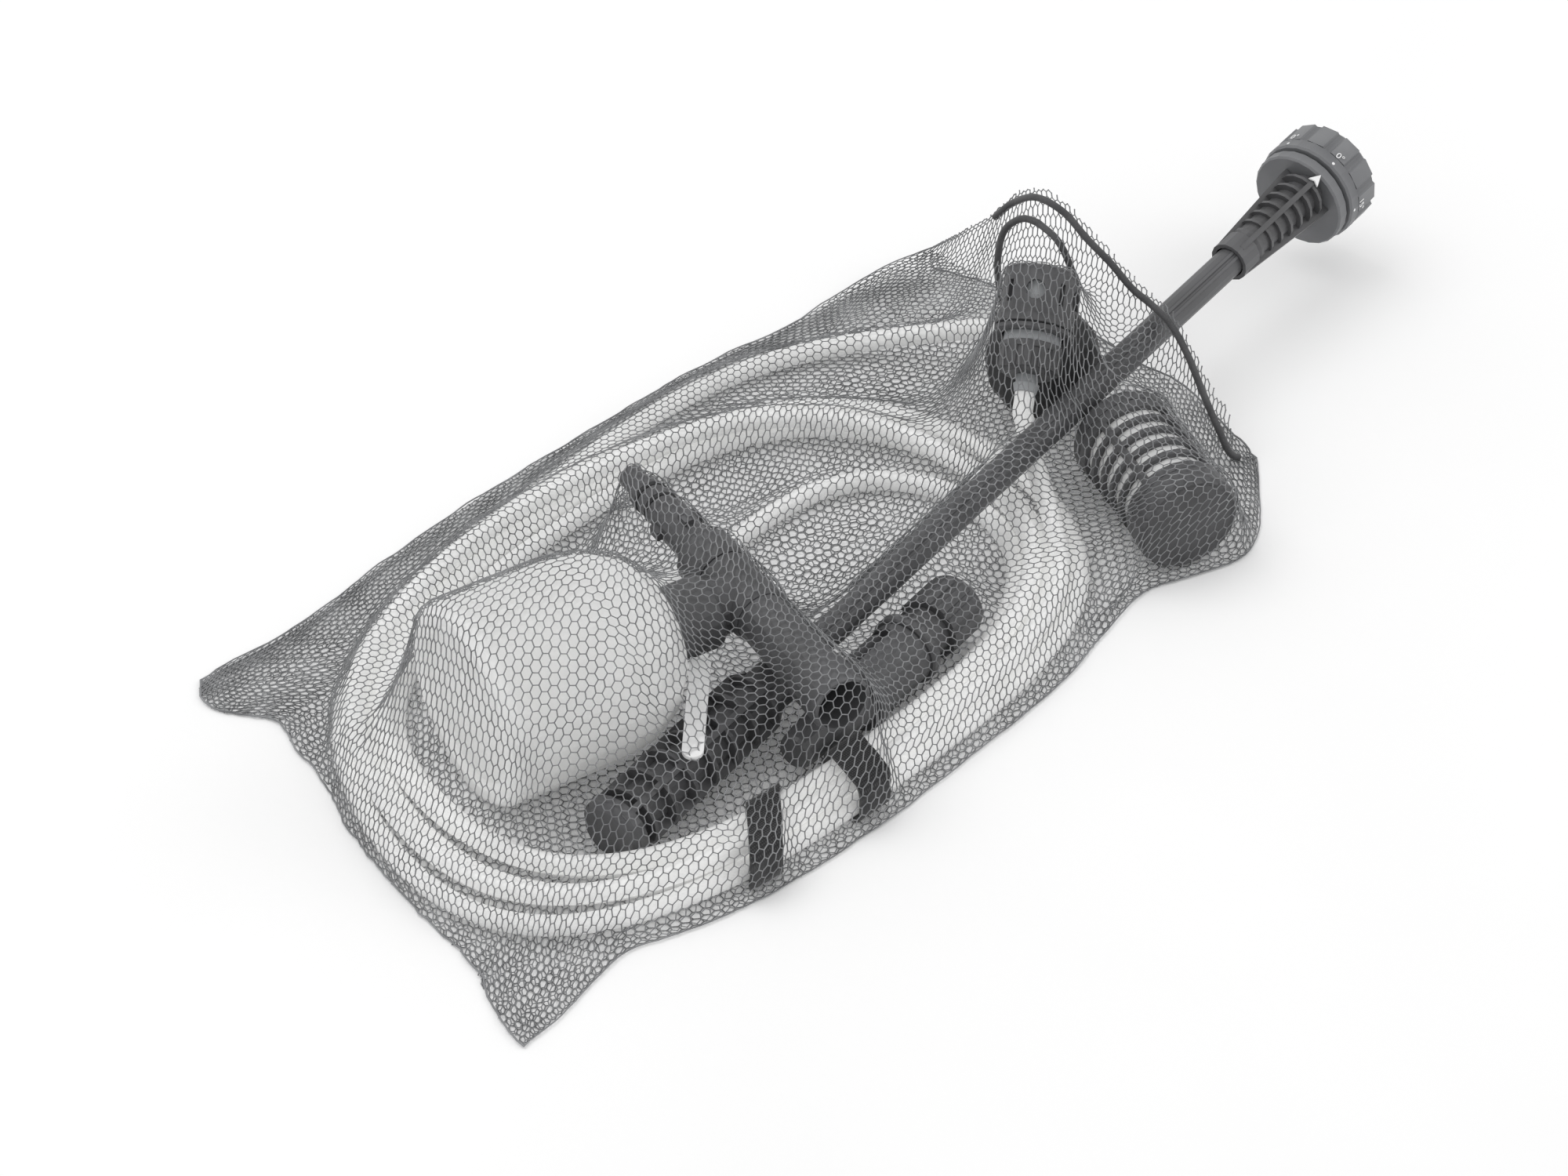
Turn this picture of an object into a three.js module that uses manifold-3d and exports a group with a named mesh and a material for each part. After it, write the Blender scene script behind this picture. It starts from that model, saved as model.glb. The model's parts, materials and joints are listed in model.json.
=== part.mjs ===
// Mesh drawstring bag with the accessories of a cordless pressure cleaner.
// Units are millimetres. +X runs from the closed end of the bag to its mouth, +Z is up.
// Every accessory is built round its own axis (local +Z along it, local +X up) and then laid in the bag.

import * as THREE from 'three';
import { mergeVertices } from 'three/addons/utils/BufferGeometryUtils.js';
import Module from 'manifold-3d';

const wasm = await Module();
wasm.setup();

// ---------------------------------------------------------------- driving dimensions

const gap = 0.3; // clearance between neighbouring pieces
const degrees = Math.PI / 180;
const netThickness = 1; // netting as a thin sheet
const floorHeight = netThickness + gap; // where the contents start

const hoseRadius = 5;
const coilHeight = 21; // two layers of turns

const strapWidth = 20;
const strapThickness = 1.5;
const strapEase = 2; // between strap and bundle

const lanceRearRadius = 17;
const lanceBarrelLength = 130;
const tubeRadius = 8;
const tubeLength = 384;
const tubeSocket = 12;
const coneLength = 68;
const coneCollarRadius = 10.4;
const coneCollarLength = 12;
const coneCoreRadii = [8.6, 9.6];
const coneFinRadii = [9.8, 13];
const flangeRadius = 25.8;
const flangeThickness = 6;
const turretRadius = 27.3;
const turretThickness = 24;
const turretDrop = 11; // turret centre below the lance axis
const spindleRadius = 6;
const spindleLength = 16;

const inletTipRadius = 6.2;
const inletRadius = 9.6;
const inletLength = 68;
const oRingWire = 2.2;
const foamCollarRadius = 15;
const foamCollarLength = 20;
const foamTeeRadius = 14.5;
const foamTeeLength = 34;
const foamBarrelRadius = 12.6;
const foamBarrelEndRadius = 14.6;
const foamBarrelLength = 48;
const foamOutletLength = 24;
const foamWall = 2;

const bottleRadius = 49.5;
const bottleBodyLength = 62;
const bottleShoulderLength = 44;
const bottleWall = 2;
const bottleNeckRadius = 14.5;
const bottleNeckLength = 20;
const capRadius = 18.3;
const capLength = 24;
const dipTubeRadius = 3;
const tabWidth = 10;
const tabThickness = 2;
const tabLength = 64;

const adapterTailRadius = 11;
const adapterTailLength = 46;
const adapterTailFlare = 3;
const adapterTailFlareLength = 20;
const adapterWindowEnd = 5;
const windowDepth = 10;
const windowWidth = 13;
const tongueDepth = 8;
const tongueWidth = 5;
const tongueEnd = 5;
const adapterRingRadius = 18;
const adapterRingThickness = 5;
const adapterBodyRadius = 16;
const adapterBodyLength = 36;
const adapterNeckRadius = 12.5;
const adapterNeckLength = 15;
const adapterNutRadius = 16;
const adapterNutLength = 24;

const strainerRadius = 25.5;
const strainerWall = 2.5;
const strainerNeckRadius = 8;
const strainerNeckLength = 22;
const strainerCageLength = 57;
const strainerCapLength = 12;
const strainerSlotRows = 5;
const strainerCapLip = 0.8;

const floatRadius = 29;

const couplingTailRadius = 6.5;
const couplingTailLength = 8;
const couplingNutRadius = 15;
const couplingNutLength = 15;
const couplingTravel = 4;
const couplingSleeveRadius = 18;
const couplingSleeveWall = 2.6;
const couplingSleeveLength = 25;
const couplingRingRadius = 19.5;
const couplingRingLength = 8;
const couplingWindowRadius = 5;

const drawstringRadius = 2;

// ---------------------------------------------------------------- materials

function finish(colour, roughness, metalness = 0) {
  return new THREE.MeshStandardMaterial({ color: colour, roughness, metalness });
}

const darkPlastic = finish(0x3d3e40, 0.55);
const blackRubber = finish(0x1d1d1e, 0.85);
const greyPlastic = finish(0x7a7b7d, 0.5);
const whitePlastic = finish(0xe9e9e6, 0.5);
const clearHose = finish(0xdedfdd, 0.35);
const netting = finish(0x2b2b2d, 0.8);
const webbing = finish(0x232325, 0.9);

// ---------------------------------------------------------------- making solids

function toSolid(geometry) {
  const bare = geometry.clone();
  bare.deleteAttribute('normal');
  bare.deleteAttribute('uv');
  const merged = mergeVertices(bare, 1e-4);
  const corners = Uint32Array.from(merged.index.array);
  const points = Float32Array.from(merged.attributes.position.array);
  const solid = new wasm.Manifold(new wasm.Mesh({ numProp: 3, vertProperties: points, triVerts: corners }));
  if (solid.volume() > 0) return solid;
  for (let i = 0; i < corners.length; i += 3) {
    [corners[i], corners[i + 1]] = [corners[i + 1], corners[i]];
  }
  return new wasm.Manifold(new wasm.Mesh({ numProp: 3, vertProperties: points, triVerts: corners }));
}

function toGeometry(solid) {
  const mesh = solid.getMesh();
  const geometry = new THREE.BufferGeometry();
  const points = new Float32Array(mesh.numVert * 3);
  for (let i = 0; i < mesh.numVert; i += 1) {
    points.set(mesh.vertProperties.slice(i * mesh.numProp, i * mesh.numProp + 3), i * 3);
  }
  geometry.setAttribute('position', new THREE.BufferAttribute(points, 3));
  geometry.setIndex(new THREE.BufferAttribute(Uint32Array.from(mesh.triVerts), 1));
  return geometry;
}

function join(solids) {
  return solids.reduce((whole, piece) => whole.add(piece));
}

// A profile of [radius, height] pairs turned about local Z.
function turned(profile, segments = 16) {
  const points = profile.map(([r, z]) => new THREE.Vector2(r, z));
  return toSolid(new THREE.LatheGeometry(points, segments).rotateX(Math.PI / 2));
}

function cylinder(radius, zLow, zHigh, segments = 16) {
  return turned([[0, zLow], [radius, zLow], [radius, zHigh], [0, zHigh]], segments);
}

function ring(innerRadius, outerRadius, zLow, zHigh, segments = 16) {
  const corners = [[innerRadius, zLow], [outerRadius, zLow], [outerRadius, zHigh], [innerRadius, zHigh]];
  return turned([...corners, corners[0]], segments);
}

function box(xSize, ySize, zSize, x, y, z) {
  return toSolid(new THREE.BoxGeometry(xSize, ySize, zSize).translate(x, y, z));
}

// A flat plate in the plane of local X (radius) and local Z, centred on the axis plane.
function radialPlate(outline, thickness, turn = 0) {
  const shape = new THREE.Shape(outline.map(([r, z]) => new THREE.Vector2(r, z)));
  const plate = new THREE.ExtrudeGeometry(shape, { depth: thickness, bevelEnabled: false });
  plate.translate(0, 0, -thickness / 2).rotateX(Math.PI / 2).rotateZ(turn);
  return toSolid(plate);
}

// A shape in local XY drawn out along local Z.
function drawn(shape, zLow, zHigh, curveSegments = 3) {
  const options = { depth: zHigh - zLow, bevelEnabled: false, curveSegments };
  return toSolid(new THREE.ExtrudeGeometry(shape, options).translate(0, 0, zLow));
}

// An outline with raised pads round a circle, for knurls and grips.
function paddedCircle(radius, padHeight, pads, padShare) {
  const shape = new THREE.Shape();
  const pitch = (2 * Math.PI) / pads;
  const half = (pitch * padShare) / 2;
  for (let i = 0; i < pads; i += 1) {
    const middle = i * pitch;
    const outer = radius + padHeight;
    const corners = [[radius, -half * 1.25], [outer, -half], [outer, half], [radius, half * 1.25]];
    for (const [r, turn] of corners) {
      const x = r * Math.cos(middle + turn);
      const y = r * Math.sin(middle + turn);
      if (i === 0 && turn === -half * 1.25) shape.moveTo(x, y);
      else shape.lineTo(x, y);
    }
  }
  shape.closePath();
  return shape;
}

function tubeAlong(points, radius, sides, steps) {
  const section = new THREE.Shape();
  for (let i = 0; i < sides; i += 1) {
    const angle = (2 * Math.PI * i) / sides;
    const corner = [radius * Math.cos(angle), radius * Math.sin(angle)];
    if (i === 0) section.moveTo(...corner);
    else section.lineTo(...corner);
  }
  section.closePath();
  const corners = points.map(([x, y, z]) => new THREE.Vector3(x, y, z));
  const path = new THREE.CatmullRomCurve3(corners, false, 'centripetal');
  return toSolid(new THREE.ExtrudeGeometry(section, { extrudePath: path, steps, bevelEnabled: false }));
}

function addPiece(parent, name, solid, material) {
  const piece = new THREE.Mesh(toGeometry(solid), material);
  piece.name = name;
  parent.add(piece);
  return piece;
}

// Lays an accessory: local +Z points along heading and pitch, local +X points up before the roll.
function lay(group, [x, y, z], heading, pitch, roll = 0) {
  const flat = Math.cos(pitch);
  const along = new THREE.Vector3(flat * Math.cos(heading), flat * Math.sin(heading), Math.sin(pitch));
  const left = new THREE.Vector3(-Math.sin(heading), Math.cos(heading), 0);
  const up = new THREE.Vector3().crossVectors(along, left);
  const right = new THREE.Vector3().crossVectors(along, up);
  group.quaternion.setFromRotationMatrix(new THREE.Matrix4().makeBasis(up, right, along));
  group.rotateZ(roll);
  group.position.set(x, y, z);
}

// ---------------------------------------------------------------- lance with spray selector

function finnedProfile(zLow, zHigh, coreRadii, finRadii, fins, finThickness) {
  const profile = [];
  const pitch = (zHigh - zLow - finThickness) / (fins - 1);
  for (let i = 0; i < fins; i += 1) {
    const share = i / (fins - 1);
    const core = THREE.MathUtils.lerp(coreRadii[0], coreRadii[1], share);
    const fin = THREE.MathUtils.lerp(finRadii[0], finRadii[1], share);
    const z = zLow + i * pitch;
    if (i > 0) profile.push([core, z]);
    profile.push([fin, z], [fin, z + finThickness]);
    if (i < fins - 1) profile.push([core, z + finThickness]);
  }
  return profile;
}

function makeLance() {
  const lance = new THREE.Group();
  const tubeStart = lanceBarrelLength - tubeSocket + gap;
  const coneStart = tubeStart + tubeLength - tubeSocket;
  const coneEnd = coneStart + coneLength;

  const core = 11;
  const collarLength = 8;
  const finsStart = collarLength + 6;
  const finsEnd = lanceBarrelLength - 24;
  const finRadii = [lanceRearRadius - 0.6, lanceRearRadius - 1.4];
  const barrelProfile = [
    [0, 0],
    [lanceRearRadius - 3, 0],
    [lanceRearRadius, 3],
    [lanceRearRadius, collarLength],
    [core, collarLength],
    [core, finsStart],
    ...finnedProfile(finsStart, finsEnd, [core, core], finRadii, 7, 2),
    [core + 1, finsEnd],
    [core + 1, lanceBarrelLength - 8],
    [tubeRadius + 2.5, lanceBarrelLength],
    [0, lanceBarrelLength],
  ];
  const ribReach = lanceRearRadius - 0.4;
  const ribEnd = finsEnd + 8;
  const midrib = [
    [-ribReach, 2], [ribReach, 2], [ribReach, finsEnd], [core + 1, ribEnd], [-core - 1, ribEnd],
    [-ribReach, finsEnd],
  ];
  const socket = cylinder(tubeRadius + gap, lanceBarrelLength - tubeSocket, lanceBarrelLength + 1, 16);
  const barrel = join([
    turned(barrelProfile, 16),
    radialPlate(midrib, 3.2),
    radialPlate(midrib, 3.2, Math.PI / 2),
  ]).subtract(socket);
  addPiece(lance, 'lance_barrel', barrel, darkPlastic);

  const seamLength = tubeLength - 2 * tubeSocket - 2 * gap;
  const seamMiddle = tubeStart + tubeLength / 2;
  const tube = cylinder(tubeRadius - 0.5, tubeStart, tubeStart + tubeLength - gap, 16)
    .add(box(2 * tubeRadius, 1.4, seamLength, 0, 1.6, seamMiddle))
    .add(box(2 * tubeRadius, 1.4, seamLength, 0, -1.6, seamMiddle));
  addPiece(lance, 'lance_tube', tube, darkPlastic);

  const coneCore = turned([
    [0, coneStart],
    [coneCollarRadius, coneStart],
    [coneCollarRadius, coneStart + coneCollarLength],
    [coneCoreRadii[0], coneStart + coneCollarLength],
    ...finnedProfile(coneStart + coneCollarLength + 3, coneEnd - 5, coneCoreRadii, coneFinRadii, 7, 1.8),
    [coneCoreRadii[1], coneEnd - 5],
    [coneCoreRadii[1], coneEnd],
    [0, coneEnd],
  ], 16);
  const ridgeReach = flangeRadius - turretDrop;
  const ridge = [
    [0, coneStart + 4], [coneCollarRadius, coneStart + 4], [ridgeReach, coneEnd - 6], [ridgeReach, coneEnd],
    [0, coneEnd],
  ];
  const ridges = [0, 1, 2, 3].map((quarter) => radialPlate(ridge, 2.6, quarter * 90 * degrees));
  const coneSocket = cylinder(tubeRadius + gap, coneStart - 1, coneStart + tubeSocket, 16);
  addPiece(lance, 'lance_cone', join([coneCore, ...ridges]).subtract(coneSocket), darkPlastic);

  const head = new THREE.Group();
  head.position.set(-turretDrop, 0, coneEnd + gap);
  lance.add(head);
  const flange = turned([
    [0, 0], [flangeRadius - 1, 0], [flangeRadius, 1], [flangeRadius, flangeThickness],
    [flangeRadius - 3, flangeThickness], [flangeRadius - 3, flangeThickness + 2], [0, flangeThickness + 2],
  ], 24).subtract(cylinder(spindleRadius + gap, flangeThickness - 3, flangeThickness + 3));
  addPiece(head, 'lance_flange', flange, darkPlastic);

  const spindleStart = flangeThickness - 3 + gap;
  const spindle = cylinder(spindleRadius, spindleStart, spindleStart + spindleLength, 16);
  addPiece(head, 'turret_spindle', spindle, greyPlastic);

  const turretStart = flangeThickness + 2 + gap;
  const turretEnd = turretStart + turretThickness;
  const grip = drawn(paddedCircle(turretRadius - 1.2, 1.2, 12, 0.62), turretStart + 7, turretEnd - 3);
  const rim = turned([
    [0, turretStart], [turretRadius - 1, turretStart], [turretRadius, turretStart + 1],
    [turretRadius, turretStart + 6.5], [turretRadius - 1.2, turretStart + 7],
    [turretRadius - 1.2, turretEnd - 3], [turretRadius - 4, turretEnd], [0, turretEnd],
  ], 24);
  const boreEnd = spindleStart + spindleLength + gap;
  const spindleBore = cylinder(spindleRadius + gap, turretStart - 1, boreEnd, 16);
  let turret = rim.add(grip).subtract(spindleBore);
  const nozzles = 5;
  for (let i = 0; i < nozzles; i += 1) {
    const turn = Math.PI + (i * 2 * Math.PI) / nozzles;
    const nozzleRadius = 2 + i * 0.9;
    const x = 16.5 * Math.cos(turn);
    const y = 16.5 * Math.sin(turn);
    const nozzle = cylinder(nozzleRadius, turretEnd - 4, turretEnd + 1, 8).translate([x, y, 0]);
    turret = turret.subtract(nozzle);
  }
  addPiece(head, 'selector_turret', turret, darkPlastic);

  const pointerShape = new THREE.Shape([
    new THREE.Vector2(-3.2, 0), new THREE.Vector2(3.2, 0), new THREE.Vector2(0, 7),
  ]);
  const pointer = new THREE.ExtrudeGeometry(pointerShape, { depth: 1.2, bevelEnabled: false });
  pointer.rotateX(Math.PI / 2).rotateZ(Math.PI / 2).translate(ridgeReach + gap, 0, coneEnd - 7);
  addPiece(lance, 'selector_pointer', toSolid(pointer), whitePlastic);
  return lance;
}

// ---------------------------------------------------------------- foam nozzle and bottle

const teeCentre = inletLength + foamCollarLength + foamTeeLength / 2;

function makeFoamNozzle() {
  const foam = new THREE.Group();
  const groove = oRingWire + 2 * gap;
  const grooveSpots = [19, 28];
  const grooveFloor = inletTipRadius + 0.4;
  const inletProfile = [
    [0, 0], [inletTipRadius - 1, 0], [inletTipRadius, 1.5], [inletTipRadius, 12], [8.4, 14],
  ];
  for (const z of grooveSpots) {
    inletProfile.push([8.4, z], [grooveFloor, z], [grooveFloor, z + groove], [8.4, z + groove]);
  }
  inletProfile.push([8.4, 35], [inletRadius, 37], [inletRadius, inletLength], [0, inletLength]);
  const lugSpan = 2 * inletRadius + 5;
  const lugs = box(lugSpan, 5, 7, 0, 0, inletLength - 14).add(box(5, lugSpan, 7, 0, 0, inletLength - 24));
  addPiece(foam, 'foam_inlet', turned(inletProfile, 16).add(lugs), darkPlastic);
  grooveSpots.forEach((z, index) => {
    const wire = oRingWire / 2;
    const profile = [];
    const sides = 6;
    for (let i = 0; i <= sides; i += 1) {
      const angle = (2 * Math.PI * i) / sides;
      const radius = grooveFloor + gap + wire + wire * Math.cos(angle);
      profile.push([radius, z + groove / 2 + wire * Math.sin(angle)]);
    }
    profile[sides] = profile[0];
    addPiece(foam, `inlet_o_ring_${index + 1}`, turned(profile, 16), blackRubber);
  });

  const collarStart = inletLength + gap;
  const collarEnd = collarStart + foamCollarLength - 2 * gap;
  const collar = turned([
    [0, collarStart], [foamCollarRadius - 2, collarStart], [foamCollarRadius, collarStart + 2],
    [foamCollarRadius, collarEnd - 3], [foamCollarRadius - 1, collarEnd], [0, collarEnd],
  ]);
  addPiece(foam, 'foam_collar', collar, darkPlastic);

  const teeStart = inletLength + foamCollarLength;
  const teeEnd = teeStart + foamTeeLength;
  const branch = cylinder(foamTeeRadius - 0.5, 0, foamTeeRadius + 3)
    .rotate([90, 0, 0])
    .translate([0, 0, teeCentre]);
  const tee = turned([
    [0, teeStart], [foamTeeRadius - 1, teeStart], [foamTeeRadius, teeStart + 1.5],
    [foamTeeRadius, teeEnd - 2], [foamBarrelRadius + 0.4, teeEnd], [0, teeEnd],
  ]).add(branch);
  addPiece(foam, 'foam_tee', tee, darkPlastic);

  const barrelStart = teeEnd + gap;
  const barrelEnd = barrelStart + foamBarrelLength;
  const bore = foamBarrelRadius - foamWall;
  const endBore = foamBarrelEndRadius - foamWall;
  const barrel = turned([
    [0, barrelStart], [foamBarrelRadius, barrelStart], [foamBarrelEndRadius - 0.6, barrelEnd],
    [endBore - 0.6, barrelEnd], [bore, barrelStart + 6], [0, barrelStart + 6],
  ]);
  addPiece(foam, 'foam_barrel', barrel, darkPlastic);

  const outletStart = barrelEnd + gap;
  const outletEnd = outletStart + foamOutletLength;
  const outlet = turned([
    [endBore, outletStart], [foamBarrelEndRadius, outletStart], [foamBarrelEndRadius + 0.6, outletEnd - 1],
    [foamBarrelEndRadius, outletEnd], [endBore + 0.4, outletEnd], [endBore, outletStart],
  ]);
  addPiece(foam, 'foam_outlet_ring', outlet, darkPlastic);
  return foam;
}

const bottleShoulderEnd = bottleBodyLength + bottleShoulderLength;
const capStart = bottleShoulderEnd + gap;
const capEnd = capStart + capLength;
const teeOffset = capEnd + gap + foamTeeRadius + 3; // bottle base to the axis of the foam nozzle

function shoulderPoint(radius, angle) {
  const reach = radius - bottleNeckRadius;
  const z = bottleBodyLength + bottleShoulderLength * Math.sin(angle);
  return [bottleNeckRadius + reach * Math.cos(angle), z];
}

function makeBottle() {
  const set = new THREE.Group();
  const neckEnd = bottleShoulderEnd + bottleNeckLength;
  const steps = 4;
  const outer = [
    [0, 3], [bottleRadius - 12, 3], [bottleRadius - 9, 0], [bottleRadius - 3, 0], [bottleRadius, 4],
  ];
  const inner = [];
  for (let i = 0; i <= steps; i += 1) {
    const angle = (i / steps) * 0.5 * Math.PI;
    outer.push(shoulderPoint(bottleRadius, angle));
    const [r, z] = shoulderPoint(bottleRadius - bottleWall, angle);
    inner.push([r - bottleWall * Math.sin(angle) ** 4, z - bottleWall * Math.sin(angle)]);
  }
  outer.push([bottleNeckRadius, neckEnd]);
  const mouthRadius = bottleNeckRadius - bottleWall;
  const inside = [[0, 3 + bottleWall], [bottleRadius - 10, 3 + bottleWall], [bottleRadius - bottleWall, 8]];
  inside.push(...inner, [mouthRadius, neckEnd]);
  const bottle = turned([...outer, ...inside.reverse()], 24);
  addPiece(set, 'bottle', bottle, whitePlastic);

  const capBore = bottleNeckRadius + gap;
  const cap = turned([
    [0, neckEnd + gap], [capBore, neckEnd + gap], [capBore, capStart],
    [capRadius, capStart], [capRadius, capEnd - 2], [capRadius - 2, capEnd], [0, capEnd],
  ], 20).subtract(cylinder(dipTubeRadius + gap, neckEnd, neckEnd + 3, 10));
  addPiece(set, 'bottle_cap', cap, darkPlastic);

  const dip = ring(dipTubeRadius - 1, dipTubeRadius, 12, neckEnd + 3 - gap, 10);
  addPiece(set, 'dip_tube', dip, whitePlastic);
  return set;
}

// The strap lies along local +Z with its upper face at local X = 0.
function makeTab() {
  const set = new THREE.Group();
  const half = tabWidth / 2;
  const shape = new THREE.Shape();
  shape.moveTo(0, -half);
  shape.lineTo(tabLength - half, -half);
  shape.absarc(tabLength - half, 0, half, -90 * degrees, 90 * degrees, false);
  shape.lineTo(0, half);
  shape.closePath();
  const button = cylinder(half - 1.5, 0, tabThickness + 0.8, 12).translate([tabLength - 4 * half, 0, 0]);
  const tab = drawn(shape, 0, tabThickness, 6)
    .add(button)
    .rotate([0, -90, 0])
    .translate([tabThickness, 0, 0]);
  addPiece(set, 'bottle_tab', tab, whitePlastic);
  return set;
}

// ---------------------------------------------------------------- adapter

function makeAdapter() {
  const adapter = new THREE.Group();
  const flangeStart = adapterTailLength + gap;
  const bodyStart = flangeStart + adapterRingThickness + gap;
  const ringStart = bodyStart + adapterBodyLength + gap;
  const neckStart = ringStart + adapterRingThickness + gap;
  const nutStart = neckStart + adapterNeckLength + gap;
  const nutEnd = nutStart + adapterNutLength;

  const tail = turned([
    [0, 0], [adapterTailRadius - 3, 0], [adapterTailRadius - 2, 2],
    [adapterTailRadius, adapterTailLength - adapterTailFlareLength],
    [adapterTailRadius + adapterTailFlare, adapterTailLength],
    [0, adapterTailLength],
  ]);
  addPiece(adapter, 'adapter_tail', tail, darkPlastic);
  const flange = turned([
    [0, flangeStart], [adapterRingRadius - 1, flangeStart], [adapterRingRadius, flangeStart + 1],
    [adapterRingRadius, bodyStart - gap - 1], [adapterRingRadius - 1, bodyStart - gap],
    [0, bodyStart - gap],
  ], 24);
  addPiece(adapter, 'adapter_flange', flange, darkPlastic);
  const bodyEnd = bodyStart + adapterBodyLength;
  const windowMiddle = (bodyStart + bodyEnd) / 2;
  const windowLength = adapterBodyLength - 2 * adapterWindowEnd;
  const windowCut = box(windowDepth, windowWidth, windowLength, adapterBodyRadius, 0, windowMiddle);
  const tongueLength = windowLength - tongueEnd;
  const tongueOffset = adapterBodyRadius - windowDepth / 2 + 1;
  const tongueMiddle = windowMiddle - tongueEnd / 2;
  const windowTongue = box(tongueDepth, tongueWidth, tongueLength, tongueOffset, 0, tongueMiddle);
  const body = cylinder(adapterBodyRadius, bodyStart, bodyEnd, 24).subtract(windowCut).add(windowTongue);
  addPiece(adapter, 'adapter_body', body, darkPlastic);
  const collar = turned([
    [0, ringStart], [adapterRingRadius - 1, ringStart], [adapterRingRadius, ringStart + 1],
    [adapterRingRadius, neckStart - gap], [0, neckStart - gap],
  ], 24);
  addPiece(adapter, 'adapter_ring', collar, blackRubber);
  const spigotRadius = 8;
  const neck = turned([
    [0, neckStart], [adapterNeckRadius + 2, neckStart], [adapterNeckRadius, neckStart + 3],
    [adapterNeckRadius, nutStart - gap], [spigotRadius, nutStart - gap], [spigotRadius, nutStart + 6],
    [0, nutStart + 6],
  ]);
  addPiece(adapter, 'adapter_neck', neck, darkPlastic);
  const nut = drawn(paddedCircle(adapterNutRadius - 1, 1, 12, 0.55), nutStart, nutEnd - 2)
    .add(cylinder(adapterNutRadius - 1, nutEnd - 3, nutEnd, 24))
    .subtract(cylinder(spigotRadius + gap, nutStart - 1, nutStart + 8))
    .subtract(cylinder(adapterNutRadius - 4, nutStart + 7, nutEnd + 1));
  addPiece(adapter, 'adapter_nut', nut, darkPlastic);
  return adapter;
}

// ---------------------------------------------------------------- suction strainer and float

function makeStrainer() {
  const strainer = new THREE.Group();
  const neck = turned([
    [0, 0], [strainerNeckRadius - 1, 0], [strainerNeckRadius, 1], [strainerNeckRadius, 7],
    [strainerNeckRadius + 4, 10], [strainerRadius - 2, 13], [strainerRadius, 16],
    [strainerRadius, strainerNeckLength], [0, strainerNeckLength],
  ], 24);
  addPiece(strainer, 'strainer_neck', neck, darkPlastic);

  const segments = 20;
  const cageStart = strainerNeckLength + gap;
  const cageEnd = cageStart + strainerCageLength;
  const bore = strainerRadius - strainerWall;
  let cage = turned([
    [0, cageStart], [strainerRadius, cageStart], [strainerRadius, cageEnd], [bore, cageEnd],
    [bore, cageStart + 3], [0, cageStart + 3],
  ], segments);
  const rowPitch = (strainerCageLength - 8) / strainerSlotRows;
  const slotHeight = rowPitch - 3;
  const ribWidth = 4;
  const ribSpan = 2 * strainerRadius + 6;
  for (let row = 0; row < strainerSlotRows; row += 1) {
    const zLow = cageStart + 6 + row * rowPitch;
    const slice = ring(bore - 1, strainerRadius + 1, zLow, zLow + slotHeight, segments);
    const ribs = box(ribSpan, ribWidth, slotHeight + 2, 0, 0, zLow + slotHeight / 2)
      .add(box(ribWidth, ribSpan, slotHeight + 2, 0, 0, zLow + slotHeight / 2));
    cage = cage.subtract(slice.subtract(ribs));
  }
  addPiece(strainer, 'strainer_cage', cage, darkPlastic);

  const sleeveRadius = bore - gap;
  const sleeve = ring(sleeveRadius - 1.5, sleeveRadius, cageStart + 3 + gap, cageEnd - gap, segments);
  addPiece(strainer, 'strainer_sleeve', sleeve, whitePlastic);

  const capStartZ = cageEnd + gap;
  const capEndZ = capStartZ + strainerCapLength;
  const lip = strainerRadius + strainerCapLip;
  const cap = turned([
    [0, capStartZ], [strainerRadius, capStartZ], [lip, capStartZ + 1.5], [lip, capEndZ - 2],
    [lip - 2, capEndZ], [lip - 4, capEndZ - 0.8], [0, capEndZ - 0.8],
  ], 28);
  addPiece(strainer, 'strainer_end_cap', cap, darkPlastic);
  return strainer;
}

function makeFloat() {
  const set = new THREE.Group();
  const bore = hoseRadius + gap;
  const profile = [];
  const steps = 6;
  const end = Math.acos((bore + 2) / floatRadius);
  for (let i = 0; i <= steps; i += 1) {
    const angle = THREE.MathUtils.lerp(-end, end, i / steps);
    profile.push([floatRadius * Math.cos(angle), floatRadius * Math.sin(angle)]);
  }
  const height = floatRadius * Math.sin(end);
  profile.push([bore, height], [bore, -height], profile[0]);
  addPiece(set, 'float', turned(profile, 20), blackRubber);
  return set;
}

// ---------------------------------------------------------------- quick coupling

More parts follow.
